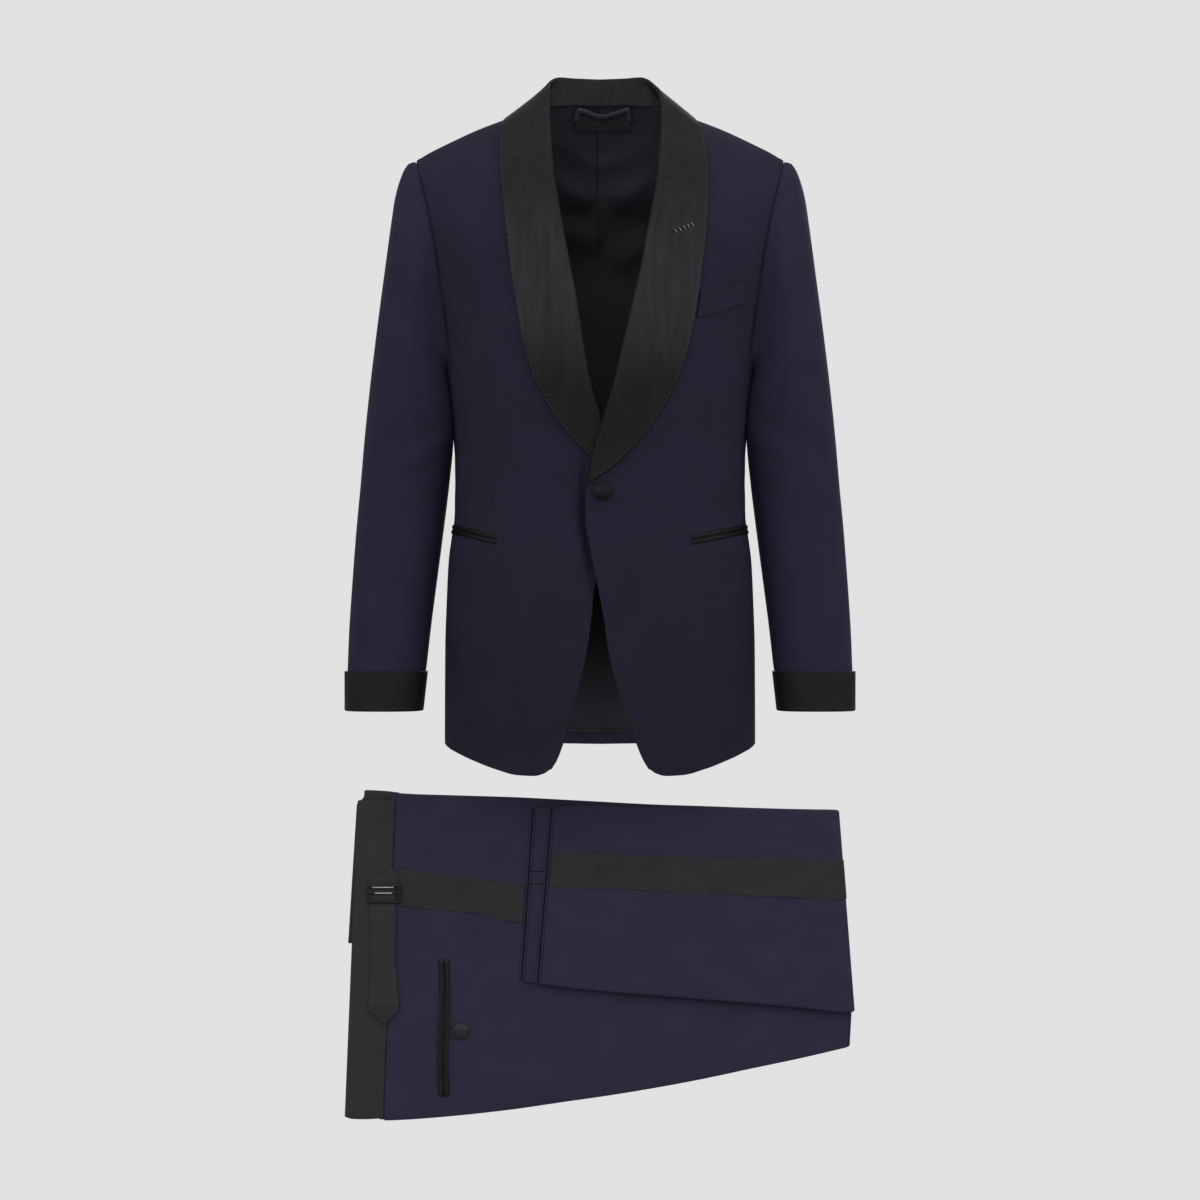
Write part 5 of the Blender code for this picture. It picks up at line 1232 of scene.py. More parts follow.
def makePockets():
    # two narrow jets with a slit between them, low on the front and a little wavy
    offsets = np.linspace(-pockets["reach"], pockets["reach"], 29)
    jets = bulge((np.abs(offsets) - pockets["jet"] - pockets["slit"] / 2) / pockets["jet"])
    along = np.linspace(0, 1, 70)
    ends = np.minimum(1.0, np.minimum(along / pockets["innerEnd"], (1 - along) / pockets["outerEnd"])) ** 0.6
    for name, side in sides.items():
        (firstX, lastX), (firstZ, lastZ) = pockets[name]["x"], pockets[name]["z"]
        angle = np.linspace(abs(angleAt(firstX, firstZ)), pockets[name]["angle"], 70)[:, None]
        middle = np.abs(bodyPoint(angle, firstZ)[..., 0])
        share = (middle - abs(firstX)) / (abs(lastX) - abs(firstX))
        z = firstZ + (lastZ - firstZ) * share + offsets[None, :]
        points, ways = bodyPoint(angle, z) * (side, 1, 1), bodyNormal(angle, z) * (side, 1, 1)
        wave = 1 + pockets["waviness"] * np.sin(along * pockets["waves"] + side)
        height = pockets["jetHeight"] * wave * (pockets["flatEnd"] + (1 - pockets["flatEnd"]) * ends)
        lift = pockets["above"] + jets[None, :] * height[:, None]
        piece = clothWall("hipJets" + name.title(), points + ways * lift[..., None],
                          points - ways * pockets["under"], together(angle * panel["degree"], z))
        settle(piece, "hipSatin", nodes=["hip_jets_" + name])


welt = {"x": [0.1105, 0.1300, 0.1480, 0.1645], "low": [-0.2335, -0.2290, -0.2215, -0.2135],
        "high": [-0.2050, -0.2010, -0.1950, -0.1900], "lean": [0.0035, 0.0020, 0.0010, 0.0],
        "above": 0.0004, "cloth": 0.0015, "edge": 0.0007, "under": 0.0006,
        "stitchIn": 0.0026, "stitchDip": 0.0003, "stitchWidth": 0.0007, "stitch": (0.0042, 0.0018, 0.0005)}


def makeWelt():
    x = np.linspace(welt["x"][0], welt["x"][-1], 60)[:, None]
    s = np.linspace(0, 1, 30)[None, :]
    low, high, lean = [curve(welt["x"], welt[key], x) for key in ("low", "high", "lean")]
    x, z = x + lean * s, low + (high - low) * s
    angle = angleAt(x, z)
    insets = roundInsets(welt["edge"]) + [0.0019, welt["stitchIn"], 0.0034]
    points, ways, flat = evenly([frontPoint(x, z, 1, 0.0 * x), bodyNormal(angle, z),
                                 together(angle * panel["degree"], z)], 16, 34, insets)
    shape = points.shape[:2]
    drop = edgeDrops(shape, insets, ["left", "right", "first", "last"], welt["edge"])
    for span in edgeSpans(shape, insets, ["first", "last"]).values():
        drop = drop + welt["stitchDip"] * hump(span - welt["stitchIn"], welt["stitchWidth"])
    outer = points + ways * (welt["above"] + welt["cloth"] - drop)[..., None]
    inner = points + ways * (welt["above"] - welt["under"])
    settle(clothWall("chestWelt", outer, inner, flat), "wool", nodes=["chest_welt"])
    row = insets.index(welt["stitchIn"])
    for edge, row in (("Inner", row), ("Outer", shape[0] - 1 - row)):
        stitchRow("weltStitches" + edge, outer[row], ways[row], welt["stitch"])


makePockets()
makeWelt()

buttonShape = [(0.70, 0.00), (0.96, 0.10), (1.00, 0.30), (0.985, 0.46), (0.93, 0.56), (0.89, 0.58),
               (0.84, 0.66), (0.70, 0.82), (0.50, 0.93), (0.28, 0.985), (0.10, 1.00)]
frontButton = {"x": 0.0028, "z": -0.4315, "radius": 0.0105, "height": 0.0058, "above": 0.0012}
pocketButton = {"x": -0.1641, "z": -1.0624, "radius": 0.0098, "height": 0.0050}


def coveredButton(name, button, seat, node, finish):
    # cloth drawn over a domed shell: a rounded rim, a fine dip and a low dome
    wide, rise = buttonShape[0]
    bpy.ops.mesh.primitive_circle_add(vertices=56, radius=wide * button["radius"], fill_type="NGON",
                                      location=tuple(seat), rotation=(math.pi / 2, 0, 0))
    piece = placeMesh(bpy.context.object)
    bpy.ops.object.mode_set(mode="EDIT")
    bpy.ops.mesh.select_all(action="SELECT")
    for nextWide, nextRise in buttonShape[1:]:
        bpy.ops.mesh.extrude_region_move(
            TRANSFORM_OT_translate={"value": (0, -(nextRise - rise) * button["height"], 0)})
        ratio = nextWide / wide
        bpy.ops.transform.resize(value=(ratio, 1, ratio), center_override=tuple(seat))
        wide, rise = nextWide, nextRise
    bpy.ops.mesh.select_all(action="SELECT")
    bpy.ops.mesh.normals_make_consistent(inside=False)
    bpy.ops.object.mode_set(mode="OBJECT")
    piece.name = name
    layFlat(piece, piece.data.uv_layers.new(name="cloth"))
    return settle(piece, finish, nodes=[node], smooth=50)


frontSeat = frontPoint(frontButton["x"], frontButton["z"], 1, frontButton["above"])
coveredButton("frontButton", frontButton, frontSeat, "front_button", "button")

buttonhole = {"from": (0.0836, -0.1368), "to": (0.1063, -0.1277), "out": 0.0045, "stitches": 5,
              "middle": (0.095, -0.132), "beyond": 0.12, "length": 0.0058, "thick": 0.0011, "slant": -6.0,
              "slit": (0.0022, 0.0026, 0.0010)}


def makeButtonhole():
    start, end = np.array([buttonhole["from"], buttonhole["to"]])
    shares = np.linspace(-buttonhole["beyond"], 1 + buttonhole["beyond"], 12)[:, None]
    line = np.array([frontPoint(x, z, 1, buttonhole["out"]) for x, z in start + (end - start) * shares])
    way = bodyNormal(angleAt(*buttonhole["middle"]), buttonhole["middle"][1])
    gap = np.linalg.norm(line[-1] - line[0]) / (buttonhole["stitches"] + 1)
    # the buttonhole's stitches carry the painted glint
    stitchRow("buttonholeStitches", line, way, (gap, buttonhole["length"], buttonhole["thick"]),
              buttonhole["slant"], "paintedGlint")
    stitchRow("buttonholeSlit", line, way, buttonhole["slit"], finish="hemTape")


makeButtonhole()

neckTrims = {
    "label": {"x": [-0.0312, 0.0384], "z": [0.0190, 0.0190], "tall": 0.0190, "depth": 0.0058,
              "cloth": 0.0008, "crown": 0.0003},
    "loop": {"x": [-0.0318, -0.0306, -0.0284, -0.0262, -0.0200, -0.0100, 0.0020, 0.0130, 0.0230, 0.0318,
                   0.0352, 0.0372, 0.0388],
             "z": [0.0190, 0.0255, 0.0306, 0.0317, 0.0306, 0.0286, 0.0272, 0.0275, 0.0292, 0.0312,
                   0.0316, 0.0258, 0.0190],
             "tall": 0.0050, "depth": 0.0076, "cloth": 0.0022, "crown": 0.0016},
}


def insideStrip(name, strip, finish, node):
    # a strip of cloth along a line inside the neck, thickest along its middle
    count = 90
    line = through(together(strip["x"], strip["z"]), np.linspace(0, len(strip["x"]) - 1, count))
    across = unit(np.gradient(line, axis=0)[:, ::-1] * (-1, 1))
    shares = np.linspace(-0.5, 0.5, 15)
    x = line[:, :1] + across[:, :1] * shares * strip["tall"]
    z = line[:, 1:] + across[:, 1:] * shares * strip["tall"]
    angle = angleAt(np.where(np.abs(x) > 1e-5, x, 1e-5), z, back=True)
    points, ways = bodyPoint(angle, z), bodyNormal(angle, z)
    ends = np.minimum(1.0, np.minimum(np.arange(count), count - 1 - np.arange(count)) / 3.0) ** 0.5
    outer = points - ways * strip["depth"]
    lift = strip["cloth"] - strip["crown"] * (1 - bulge(2 * shares[None, :]) * ends[:, None])
    settle(clothWall(name, outer - ways * lift[..., None], outer, together(x, z)), finish, nodes=[node])


insideStrip("labelPatch", neckTrims["label"], "label", "label_patch")
insideStrip("hangerLoop", neckTrims["loop"], "loop", "hanger_loop")
print("jacket's small pieces made")


# folded trousers
trousers = {
    "backY": 0.0110, "layer": 0.0047, "gap": 0.0004, "cloth": 0.0011, "hemTape": 0.0047,
    "hemSlant": 0.081, "hemCloth": 0.0005, "hemDepth": 0.010,
    # the tongue that reaches into the waistband, as its reach and share of the thickness
    "tongue": ((0.005, 0.5), (0.0002, 0.52)), "tongueTrim": 0.0012, "besideBand": 0.86,
    "kneeFall": (28, 20), "nearOpen": (-0.10, -1.035), "covered": 0.2,
    "farHem": (-0.0570, -0.0735), "nearHem": (-0.0790, -0.0925),
    "farWaist": (-0.2350, -0.2500), "nearWaist": (-0.2400, -0.2545),
    "knee": (0.2790, 0.2975), "nearInset": 0.0056,
    "sheet": {"flat": (0.77, 0.90), "area": 0.52, "held": "folded"},
}
thigh = {
    "x": [-0.2475, -0.2300, -0.1735, -0.1029, -0.0465, 0.0100, 0.0665, 0.1229, 0.1794,
          0.2359, 0.2924],
    "top": [-0.7815, -0.7835, -0.7855, -0.7877, -0.7905, -0.7936, -0.7965, -0.7983, -0.8003,
            -0.8018, -0.8026],
    "bottom": [-1.1682, -1.1674, -1.1630, -1.1552, -1.1470, -1.1389, -1.1296, -1.1190, -1.1069,
               -1.0950, -1.0818],
}
shin = {
    "x": [-0.0920, -0.0200, 0.0650, 0.1500, 0.2330, 0.2800],
    "top": [-0.8000, -0.7960, -0.7985, -0.8000, -0.8015, -0.8030],
    "bottom": [-1.0040, -1.0130, -1.0200, -1.0270, -1.0340, -1.0395],
}


def layerMiddle(layer):
    return trousers["backY"] - trousers["layer"] / 2 - layer * (trousers["layer"] + trousers["gap"])


def layerFront(layer):
    return layerMiddle(layer) - trousers["layer"] / 2


def legRing(xTop, zTop, xLow, zLow, y, thick, out, flatCount=26):
    # a flattened tube's section, with the direction out of it at each point
    half, out = thick / 2, np.array(out)
    top, low = np.array([xTop, y, zTop]), np.array([xLow, y, zLow])
    length = np.linalg.norm(low - top)
    way = (low - top) / length
    down = np.linspace(0, 1, flatCount + 2)[1:-1]
    points, ways = [], []
    for middle, turns, face, shares in (
            (top + way * half, (90, 115, 140, 165, 180, 195, 220, 245, 270), -out, down),
            (low - way * half, (270, 295, 320, 345, 0, 15, 40, 65, 90), out, down[::-1])):
        for turn in np.radians(turns):
            ways.append(way * math.cos(turn) + out * math.sin(turn))
            points.append(middle + ways[-1] * half)
        for s in shares:
            ways.append(face)
            points.append(top + way * (half + (length - thick) * s) + face * half)
    return points, ways


def legFields(hems, thighY, shinY, waist, inset):
    kneeTop, kneeLow = trousers["knee"][0] - inset, trousers["knee"][1] - inset
    turn = (thighY - shinY) / 2
    endTop, endLow = kneeTop - turn, kneeLow - turn
    hemTop, hemLow = hems[0] + trousers["hemTape"], hems[1] + trousers["hemTape"]
    rings = []

    def section(share, topX, lowX, table):
        xTop = topX[0] + (topX[1] - topX[0]) * share
        xLow = lowX[0] + (lowX[1] - lowX[0]) * share
        return [xTop, float(curve(table["x"], table["top"], xTop)),
                xLow, float(curve(table["x"], table["bottom"], xLow))]

    def add(values, y, outX, outY, thick=1.0):
        rings.append(legRing(*values, y, trousers["layer"] * thick, (outX, outY, 0.0)))

    # the tongue, then the rounded edge beside the waistband
    trim = trousers["tongueTrim"]
    for back, thick in trousers["tongue"]:
        start = section(0.0, (waist[0] - back, 0), (waist[1] - back, 0), thigh)
        add([start[0], start[1] - trim, start[2], start[3] + trim], thighY, 0.0, 1.0, thick)
    add(section(0.0, waist, waist, thigh), thighY, 0.0, 1.0, trousers["besideBand"])
    for share in np.linspace(0.0012, 1, 70):
        last = section(share, (waist[0], endTop), (waist[1], endLow), thigh)
        add(last, thighY, 0.0, 1.0)
    # round the knee
    first = section(1.0, (hemTop, endTop), (hemLow, endLow), shin)
    fallFrom, fallOver = trousers["kneeFall"]
    for degrees in range(15, 180, 15):
        r = math.radians(degrees)
        values = [a + (b - a) * degrees / 180 for a, b in zip(last, first)]
        values[3] = last[3] + (first[3] - last[3]) * float(smoothStep((degrees - fallFrom) / fallOver))
        values[0] += turn * math.sin(r)
        values[2] += turn * math.sin(r)
        add(values, (thighY + shinY) / 2 + turn * math.cos(r), math.sin(r), math.cos(r))
    for share in np.linspace(1, 0, 64):
        add(section(share, (hemTop, endTop), (hemLow, endLow), shin), shinY, 0.0, -1.0)
    return [np.array(part) for part in zip(*rings)]


# folds pressed into the trousers, as x and z
farLegFolds = [
    (0.020, 0.0006, [(0.05, -0.83), (0.10, -0.88), (0.13, -0.96)]),
    (0.016, -0.0007, [(-0.02, -0.93), (0.06, -0.95), (0.15, -0.97)]),
    (0.018, -0.0006, [(0.20, -0.82), (0.22, -0.90), (0.21, -1.00)]),
    (0.012, 0.0007, [(0.255, -0.83), (0.262, -0.92), (0.272, -1.01)]),
    (0.013, 0.0006, [(-0.04, -0.83), (-0.03, -0.88), (-0.045, -0.95)]),
]
nearLegFolds = [
    (0.012, -0.0009, [(-0.215, -0.90), (-0.208, -0.97), (-0.220, -1.05)]),
    (0.018, 0.0008, [(-0.15, -0.95), (-0.13, -1.02), (-0.15, -1.10)]),
    (0.013, -0.0007, [(-0.22, -0.82), (-0.17, -0.835), (-0.11, -0.83)]),
    (0.016, -0.0008, [(-0.10, -1.03), (0.00, -1.05), (0.10, -1.06)]),
    (0.013, 0.0006, [(0.12, -1.06), (0.18, -1.055), (0.25, -1.045)]),
]


def makeLeg(name, fields, rows, node, inView):
    # folds show in full where the leg is open to view, and faintly under the other layers
    points, ways = fields
    flat = together(runAlong(points[:, 0])[:, None], runAlong(points[0])[None, :])
    shift = np.where(ways[..., 1] < -0.9, folds(points[..., 0], points[..., 2], rows), 0.0)
    shift = np.where(inView, shift, np.minimum(shift, 0.0) * trousers["covered"])
    outer = points + ways * shift[..., None]
    piece = clothWall(name, outer, outer - ways * trousers["cloth"], flat, wrap=True)
    settle(piece, "trouserWoolPaintedLighter", nodes=[node], sheet=trousers["sheet"])


def hemRing(name, hems, layer, finish, steps):
    # rings inside a leg's end, each as its distance from the hem's line and how much thinner it is
    rings = []
    for out, thin in steps:
        xTop, xLow = hems[0] + out, hems[1] + out
        zTop, zLow = curve(shin["x"], shin["top"], xTop), curve(shin["x"], shin["bottom"], xLow)
        rings.append(legRing(xTop, zTop - thin / 2, xLow, zLow + thin / 2, layerMiddle(layer),
                             trousers["layer"] - thin, (0.0, -1.0, 0.0), 40))
    grid, ways = [np.array(part) for part in zip(*rings)]
    flat = together(grid[:, :1, 0], runAlong(grid[0])[None, :])
    settle(clothWall(name, grid, grid - ways * trousers["hemCloth"], flat, wrap=True), finish)


# short straight rows of stitches on a layer's front
hemSeam = {"x": (-0.0835, -0.0655, 16), "layer": 2, "above": 0.0002, "stitch": (0.0017, 0.0021, 0.0009),
           "finish": "hemTape"}
trouserSeams = {
    "hemSeamUpper": dict(hemSeam, z=-0.8742), "hemSeamLower": dict(hemSeam, z=-0.8890),
    "backDartSeam": {"x": (-0.2530, -0.1920, 20), "z": -1.0918, "layer": 1, "above": 0.0001,
                     "stitch": (0.0019, 0.0022, 0.0004), "finish": "thread"},
}


def straightSeam(name):
    seam = trouserSeams[name]
    line = together(np.linspace(*seam["x"]), layerFront(seam["layer"]) - seam["above"], seam["z"])
    stitchRow(name, line, (0.0, -1.0, 0.0), seam["stitch"], finish=seam["finish"])


def makeLegs():
    far = legFields(trousers["farHem"], layerMiddle(0), layerMiddle(3), trousers["farWaist"], 0.0)
    near = legFields(trousers["nearHem"], layerMiddle(1), layerMiddle(2), trousers["nearWaist"],
                     trousers["nearInset"])
    makeLeg("farLeg", far, farLegFolds, "far_leg", far[0][..., 1] < layerMiddle(3))
    openX, openZ = trousers["nearOpen"]
    makeLeg("nearLeg", near, nearLegFolds, "near_leg", (near[0][..., 0] < openX) | (near[0][..., 2] < openZ))
    # at each hem the turned-up edge shows as a band with a groove beside the leg, and a dark kick tape
    # peeps out of it; its dark edge along the hem also paints the shadow line there
    tape = trousers["hemTape"]
    under = tape + trousers["hemDepth"]
    for name, hems, layer in (("far", trousers["farHem"], 3), ("near", trousers["nearHem"], 2)):
        hemRing(name + "KickTapeShadowLine", hems, layer, "hemTape",
                [(0.0000, 0.0034), (0.0004, 0.0026), (tape * 0.5, 0.0024), (under, 0.0024)])
        hemRing(name + "HemBand", hems, layer, "trouserWoolPaintedLighter",
                [(0.0014, 0.0014), (0.0017, 0.0008), (tape - 0.0018, 0.0007), (tape - 0.0014, 0.0012),
                 (tape - 0.0012, 0.0022), (under, 0.0022)])
    straightSeam("hemSeamUpper")
    straightSeam("hemSeamLower")


# flat pieces: lines are the x and z of the top and of the bottom edge, along the piece;
# counts are the columns along and across it
waistbandNear = {
    "lines": [(-0.2853, -0.7915, -0.3005, -1.1635), (-0.2780, -0.7905, -0.2925, -1.1660),
              (-0.2600, -0.7900, -0.2750, -1.1665), (-0.2412, -0.7905, -0.2552, -1.1655)],
    "thick": trousers["layer"] + 0.0008, "edge": 0.0012, "counts": (30, 110),
    "folds": [
        (0.007, 0.0005, [(-0.287, -0.860), (-0.283, -0.930), (-0.290, -1.000)]),
        (0.008, 0.0005, [(-0.262, -1.060), (-0.268, -1.110), (-0.262, -1.150)]),
        (0.006, 0.0004, [(-0.258, -0.800), (-0.262, -0.830), (-0.258, -0.860)]),
    ],
}
waistbandFar = {
    "lines": [(-0.2858, -0.7800, -0.2970, -0.9600), (-0.2760, -0.7795, -0.2880, -0.9600),
              (-0.2540, -0.7805, -0.2580, -0.9600), (-0.2365, -0.7825, -0.2431, -0.9600)],
    "corner": 0.0080, "thick": trousers["layer"] - 0.0004, "edge": 0.0012, "counts": (24, 60),
}
stripeThigh = {
    "lines": [(-0.2425, -0.8707, -0.2425, -0.9140), (-0.2000, -0.8760, -0.2000, -0.9190),
              (-0.1476, -0.8830, -0.1476, -0.9240), (-0.0890, -0.8930, -0.0905, -0.9360)],
    "above": 0.0001, "thick": 0.0008, "edge": 0.0003, "counts": (90, 16),
}
# the far leg's stripe, from its hem round the knee to the waistband at the back, as x or
# station and the heights of its two edges
stripeFar = {
    "hemX": [-0.0558, 0.0200, 0.0900, 0.1700, 0.2335, 0.2900],
    "hemTop": [-0.8508, -0.8540, -0.8565, -0.8590, -0.8600, -0.8620],
    "hemLow": [-0.8920, -0.8945, -0.8980, -0.9020, -0.9045, -0.9080],
    "backX": [-0.2380, -0.1500, -0.0500, 0.0800, 0.1900, 0.2900],
    "backTop": [-0.8715, -0.8850, -0.8980, -0.9030, -0.8900, -0.8620],
    "backLow": [-0.9145, -0.9290, -0.9420, -0.9480, -0.9360, -0.9080],
    "above": 0.0001, "thick": 0.0008, "edge": 0.0003, "slantOver": 0.05,
}
strap = {
    "lines": [(-0.2690, -0.8880, -0.2400, -0.8880), (-0.2715, -0.9080, -0.2405, -0.9080),
              (-0.2700, -0.9400, -0.2400, -0.9400), (-0.2700, -0.9750, -0.2410, -0.9750),
              (-0.2710, -1.0240, -0.2375, -1.0240)],
    "thick": 0.0011, "edge": 0.0004, "counts": (70, 16),
    "folds": [(0.007, 0.0008, [(-0.2555, -0.91), (-0.2550, -0.96), (-0.2560, -1.01)])],
}


def flatPiece(name, table, yBack, finish, nodes):
    thick, edge, (along, across) = table["thick"], table["edge"], table["counts"]
    lines = through(table["lines"], np.linspace(0, len(table["lines"]) - 1, 80))
    s, side = np.linspace(0, 1, 24)[None, :], np.linspace(0, 1, 80)[:, None]
    x = lines[:, :1] + (lines[:, 2:3] - lines[:, :1]) * s
    z = lines[:, 1:2] + (lines[:, 3:4] - lines[:, 1:2]) * s
    # a corner can be slanted off at the top
    x += table.get("corner", 0.0) * (1 - smoothStep((s - 0.066) / 0.02)) * np.maximum(0, 1 - side / 0.5)
    insets = roundInsets(edge) + [edge * 2.2]
    points, ways, flat = evenly([together(x, yBack - thick, z), together(0 * x, -1.0, 0.0),
                                 together(x, z)], across, along, insets)
    drop = edgeDrops(points.shape[:2], insets, ["left", "right", "first", "last"], edge)
    drop = drop - folds(points[..., 0], points[..., 2], table.get("folds", ()))
    piece = clothWall(name, points - ways * drop[..., None], points - ways * thick, flat)
    settle(piece, finish, nodes=nodes)


def makeWaistband():
    near, far = layerFront(1) + trousers["layer"], layerFront(0) + trousers["layer"]
    flatPiece("waistbandNear", waistbandNear, near + 0.0002, "band", ["waistband"])
    flatPiece("waistbandFar", waistbandFar, far, "band", [])


def makeStripes():
    flatPiece("stripeThigh", stripeThigh, layerFront(1) - stripeThigh["above"], "stripe", ["stripe_thigh"])
    # the far leg's stripe follows the leg's outer face round the knee
    table, edge = stripeFar, stripeFar["edge"]
    front, back = layerFront(3) - table["above"], trousers["backY"] + table["above"]
    middle, knee = (front + back) / 2, (back - front) / 2
    kneeTop, kneeLow = trousers["knee"]
    lines = []
    for x in np.linspace(table["hemX"][0], kneeTop - (layerMiddle(0) - layerMiddle(3)) / 2, 150):
        lines.append((x, front, curve(table["hemX"], table["hemTop"], x),
                      curve(table["hemX"], table["hemLow"], x), 0.0, -1.0))
    lastX = lines[-1][0]
    for turn in np.radians(np.arange(8, 180, 8)):
        lines.append((lastX + knee * math.sin(turn), middle - knee * math.cos(turn), lines[-1][2],
                      lines[-1][3], math.sin(turn), -math.cos(turn)))
    for x in np.linspace(lastX, table["backX"][0], 150):
        lines.append((x, back, curve(table["backX"], table["backTop"], x),
                      curve(table["backX"], table["backLow"], x), 0.0, 1.0))
    x, y, top, low, outX, outY = np.array(lines).T[..., None]
    z = top + (low - top) * np.linspace(0, 1, 24)[None, :]
    slanted = np.where(outY < 0, np.clip(1 - (x - table["hemX"][0]) / table["slantOver"], 0, 1), 0.0)
    # the knee's edge runs out to the right on its way down
    atKnee = np.clip(1 - (lastX - x) / table["slantOver"], 0, 1)
    x = x + trousers["hemSlant"] * (z - top) * slanted
    x = x + (kneeLow - kneeTop) * atKnee * (z - shin["top"][-1]) / (shin["bottom"][-1] - shin["top"][-1])
    gone = np.cumsum(np.hypot(np.diff(x[:, 0], prepend=x[0, 0]), np.diff(y[:, 0], prepend=y[0, 0])))
    insets = roundInsets(edge) + [0.0007]
    points, ways, flat = respace([together(x, y, z), together(outX, outY, 0 * z),
                                  together(gone[:, None], z)], 1, 18, insets, insets)
    drop = edgeDrops(points.shape[:2], insets, ["left", "right"], edge)
    outer = points + ways * (table["thick"] - drop)[..., None]
    piece = clothWall("stripeShin", outer, points - ways * table["thick"], flat)
    settle(piece, "stripe", nodes=["stripe_shin"])


def soften(piece, width, segments=3):
    # rounds the edges and applies all modifiers
    bevel = piece.modifiers.new("soft edge", "BEVEL")
    bevel.width, bevel.segments = width, segments
    select(piece)
    for modifier in list(piece.modifiers):
        bpy.ops.object.modifier_apply(modifier=modifier.name)
    return piece


def outlinePlate(name, outline, yBack, thick, finish):
    # a small flat piece of cloth cut to an outline, thickened and with its edges rounded
    bpy.ops.mesh.primitive_circle_add(vertices=len(outline), radius=0.01, fill_type="NGON")
    piece = bpy.context.object
    piece.name = name
    for vertex, (x, z) in zip(piece.data.vertices, outline):
        vertex.co = (x, yBack - thick, z)
    bpy.ops.object.mode_set(mode="EDIT")
    bpy.ops.mesh.select_all(action="SELECT")
    bpy.ops.mesh.extrude_region_move(TRANSFORM_OT_translate={"value": (0, thick, 0)})
    bpy.ops.mesh.select_all(action="SELECT")
    bpy.ops.mesh.normals_make_consistent(inside=False)
    bpy.ops.object.mode_set(mode="OBJECT")
    soften(piece, adjuster["edge"])
    layFlat(piece, piece.data.uv_layers[0])
    settle(piece, finish)


adjuster = {
    "above": 0.0006, "gap": 0.0006, "strapGap": 0.0004, "keeperCloth": 0.0012, "tabCloth": 0.0022,
    "tabOut": 0.0005, "edge": 0.0004,
    "keeper": [(-0.2712, -0.8960), (-0.2712, -0.8830), (-0.2450, -0.8712), (-0.2372, -0.8790),
               (-0.2372, -0.8960)],
    "tab": [(-0.2722, -1.0230), (-0.2725, -1.0370), (-0.2535, -1.0555), (-0.2370, -1.0370),
            (-0.2365, -1.0230)],
}


def makeAdjuster():
    y = layerFront(1) - adjuster["above"]
    out = y - adjuster["gap"]
    outlinePlate("adjusterKeeper", adjuster["keeper"], out, adjuster["keeperCloth"], "band")
    flatPiece("adjusterStrap", strap, out - adjuster["strapGap"], "band", ["side_adjuster"])
    outlinePlate("adjusterTab", adjuster["tab"], y - adjuster["tabOut"], adjuster["tabCloth"], "band")


buckle = {"x": [-0.2732, -0.2698, -0.2382, -0.2348],
          "z": [-0.9120, -0.9088, -0.9012, -0.8976, -0.8926, -0.8890],
          "thick": 0.0024, "above": 0.0042, "edge": 0.0009, "slots": (4, 10),
          "bars": {"Upper": (-0.2680, -0.2425, -0.8930), "Lower": (-0.2650, -0.2440, -0.8998)},
          "barRadius": 0.0007, "barAbove": 0.0054, "barEdge": 0.0004}


def makeBuckle():
    # a slide buckle: a plate with two slots, with rounded edges
    bpy.ops.mesh.primitive_grid_add(x_subdivisions=3, y_subdivisions=5, size=0.03)
    piece = bpy.context.object
    piece.name = "adjusterBuckle"
    y = layerFront(1) - buckle["above"]
    for k, vertex in enumerate(piece.data.vertices):
        vertex.co = (buckle["x"][k % 4], y, buckle["z"][k // 4])
    bpy.ops.object.mode_set(mode="EDIT")
    bpy.ops.mesh.select_all(action="DESELECT")
    bpy.ops.mesh.select_mode(type="FACE")
    bpy.ops.object.mode_set(mode="OBJECT")
    for index in buckle["slots"]:
        piece.data.polygons[index].select = True
    bpy.ops.object.mode_set(mode="EDIT")
    bpy.ops.mesh.delete(type="FACE")
    bpy.ops.object.mode_set(mode="OBJECT")
    wall = piece.modifiers.new("thickness", "SOLIDIFY")
    wall.thickness = buckle["thick"]
    wall.offset = 0
    settle(soften(piece, buckle["edge"], 4), "enamel", nodes=["adjuster_buckle"])
    # two bright steel rods laid over the slide's bars paint their highlights
    y = layerFront(1) - buckle["barAbove"]
    for barName, (left, right, z) in buckle["bars"].items():
        bpy.ops.mesh.primitive_cylinder_add(vertices=16, radius=buckle["barRadius"], depth=right - left,
                                            location=((left + right) / 2, y, z),
                                            rotation=(0, math.pi / 2, 0))
        bar = placeMesh(bpy.context.object)
        bar.name = "buckleBar" + barName
        settle(soften(bar, buckle["barEdge"]), "bar")


backPocket = {"x": -0.1838, "top": -0.9780, "length": 0.1615, "bow": 0.0010, "jet": 0.0029,
              "jetHeight": 0.0019, "above": 0.0002, "reach": 0.0064, "slit": (0.0004, 0.0009),
              "end": 0.012, "flatEnd": 0.3, "cloth": 0.0003, "buttonOut": 0.0004, "loopOut": 0.0007,
              "loop": (-0.1478, -1.0616), "loopSize": (0.0042, 0.0046), "stitch": (0.0011, 0.0024, 0.0011)}


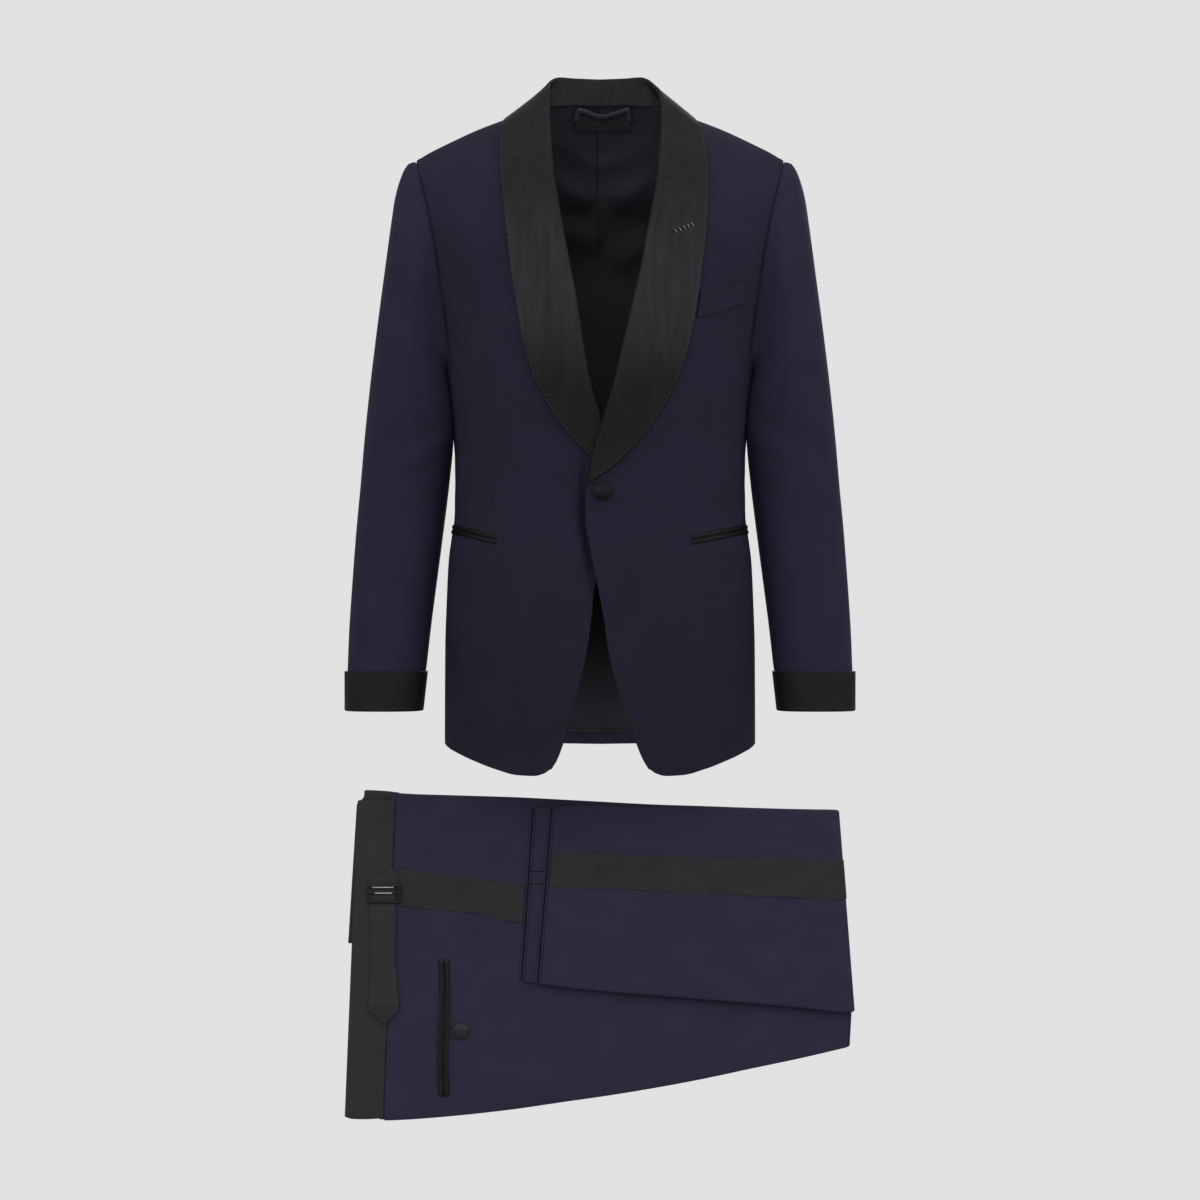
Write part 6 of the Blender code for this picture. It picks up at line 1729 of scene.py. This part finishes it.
def makeBackPocket():
    y = layerFront(1) - backPocket["above"]
    s = np.linspace(0, 1, 70)[:, None]
    offsets = np.linspace(-backPocket["reach"], backPocket["reach"], 27)[None, :]
    least, wider = backPocket["slit"]
    centre = backPocket["jet"] + least + wider * np.sin(math.pi * s) ** 2
    ends = np.minimum(1.0, np.minimum(s, 1 - s) / backPocket["end"]) ** 0.5
    ends = backPocket["flatEnd"] + (1 - backPocket["flatEnd"]) * ends
    jets = backPocket["jetHeight"] * bulge((np.abs(offsets) - centre) / backPocket["jet"]) * ends
    z = backPocket["top"] - backPocket["length"] * s
    x = backPocket["x"] + backPocket["bow"] * np.sin(2 * math.pi * s) + offsets
    outer = together(x, y - jets - backPocket["cloth"], z)
    piece = clothWall("backPocketJets", outer, together(x, y, z), together(x, z))
    settle(piece, "satin", nodes=["back_pocket_jets"])
    seat = (pocketButton["x"], y - backPocket["buttonOut"], pocketButton["z"])
    coveredButton("pocketButton", pocketButton, seat, "pocket_button", "buttonLight")
    turns = np.linspace(-0.5 * math.pi, 0.6 * math.pi, 14)
    (x, z), (wide, tall) = backPocket["loop"], backPocket["loopSize"]
    loop = together(x + wide * np.cos(turns), y - backPocket["loopOut"], z + tall * np.sin(turns))
    stitchRow("pocketLoop", loop, (0.0, -1.0, 0.0), backPocket["stitch"])


makeLegs()
makeWaistband()
makeStripes()
makeAdjuster()
makeBuckle()
makeBackPocket()
straightSeam("backDartSeam")
print("folded trousers made")


# floor, light and camera
studio = {"paper": "#e3e1e2", "floorZ": -1.30, "floorSize": 40, "world": 0.46, "aim": (0, 0, -0.5),
          "lamps": {
              "left": {"place": (-2.6, -1.7, 0.7), "size": 2.4, "power": 27},
              "right": {"place": (2.6, -1.5, 0.7), "size": 2.4, "power": 36},
              "front": {"place": (-0.3, -3.4, 0.5), "size": 2.4, "power": 34},
              "top": {"place": (0.0, -0.6, 2.2), "size": 1.8, "power": 14},
              "back": {"place": (0.5, 3.0, 1.0), "size": 2.4, "power": 40}}}


def makeStudio():
    # seamless studio paper, evenly lit, so it shows no shade of its own
    paper = bpy.data.materials.new("seamlessPaper")
    paper.use_nodes = True
    tree = paper.node_tree
    tree.nodes.clear()
    glow = addNode(tree, "ShaderNodeEmission", {"Color": linear(studio["paper"]), "Strength": 1.0})
    addNode(tree, "ShaderNodeOutputMaterial", {"Surface": glow.outputs[0]})
    bpy.ops.mesh.primitive_plane_add(size=studio["floorSize"], location=(0, 0, studio["floorZ"]))
    floor = bpy.context.object
    floor.name = "paperFloor"
    placeMesh(floor)
    floor.data.materials.append(paper)
    floor.visible_diffuse = False
    floor.visible_glossy = False
    for name, lamp in studio["lamps"].items():
        bpy.ops.object.light_add(type="AREA", location=lamp["place"])
        light = bpy.context.object
        light.name = name + "Light"
        light.data.size = lamp["size"]
        light.data.energy = lamp["power"]
        aim = np.array(studio["aim"]) - np.array(lamp["place"])
        across = math.hypot(aim[0], aim[1])
        light.rotation_euler = (math.pi / 2 + math.atan2(aim[2], across), 0,
                                math.atan2(aim[1], aim[0]) - math.pi / 2)
    # the room has the paper's colour, and lights the cloth less than it shows
    world = bpy.data.worlds.new("softRoom")
    world.use_nodes = True
    tree = world.node_tree
    seen = addNode(tree, "ShaderNodeLightPath").outputs["Is Camera Ray"]
    strength = addNode(tree, "ShaderNodeMapRange", {"Value": seen, "To Min": studio["world"],
                                                    "To Max": 1.0})
    ground = tree.nodes["Background"]
    ground.inputs["Color"].default_value = linear(studio["paper"])
    tree.links.new(strength.outputs[0], ground.inputs["Strength"])
    bpy.context.scene.world = world
    bpy.context.scene.view_settings.view_transform = "Standard"


camera = {"distance": 3.6, "height": -0.5553, "lens": 91.8, "sensor": 36, "farthest": 60}


def makeCamera():
    bpy.ops.object.camera_add(location=(0, -camera["distance"], camera["height"]),
                              rotation=(math.pi / 2, 0, 0))
    eye = bpy.context.object
    eye.data.lens = camera["lens"]
    eye.data.sensor_width = camera["sensor"]
    eye.data.clip_end = camera["farthest"]
    bpy.context.scene.camera = eye


makeStudio()
makeCamera()
print("studio made")
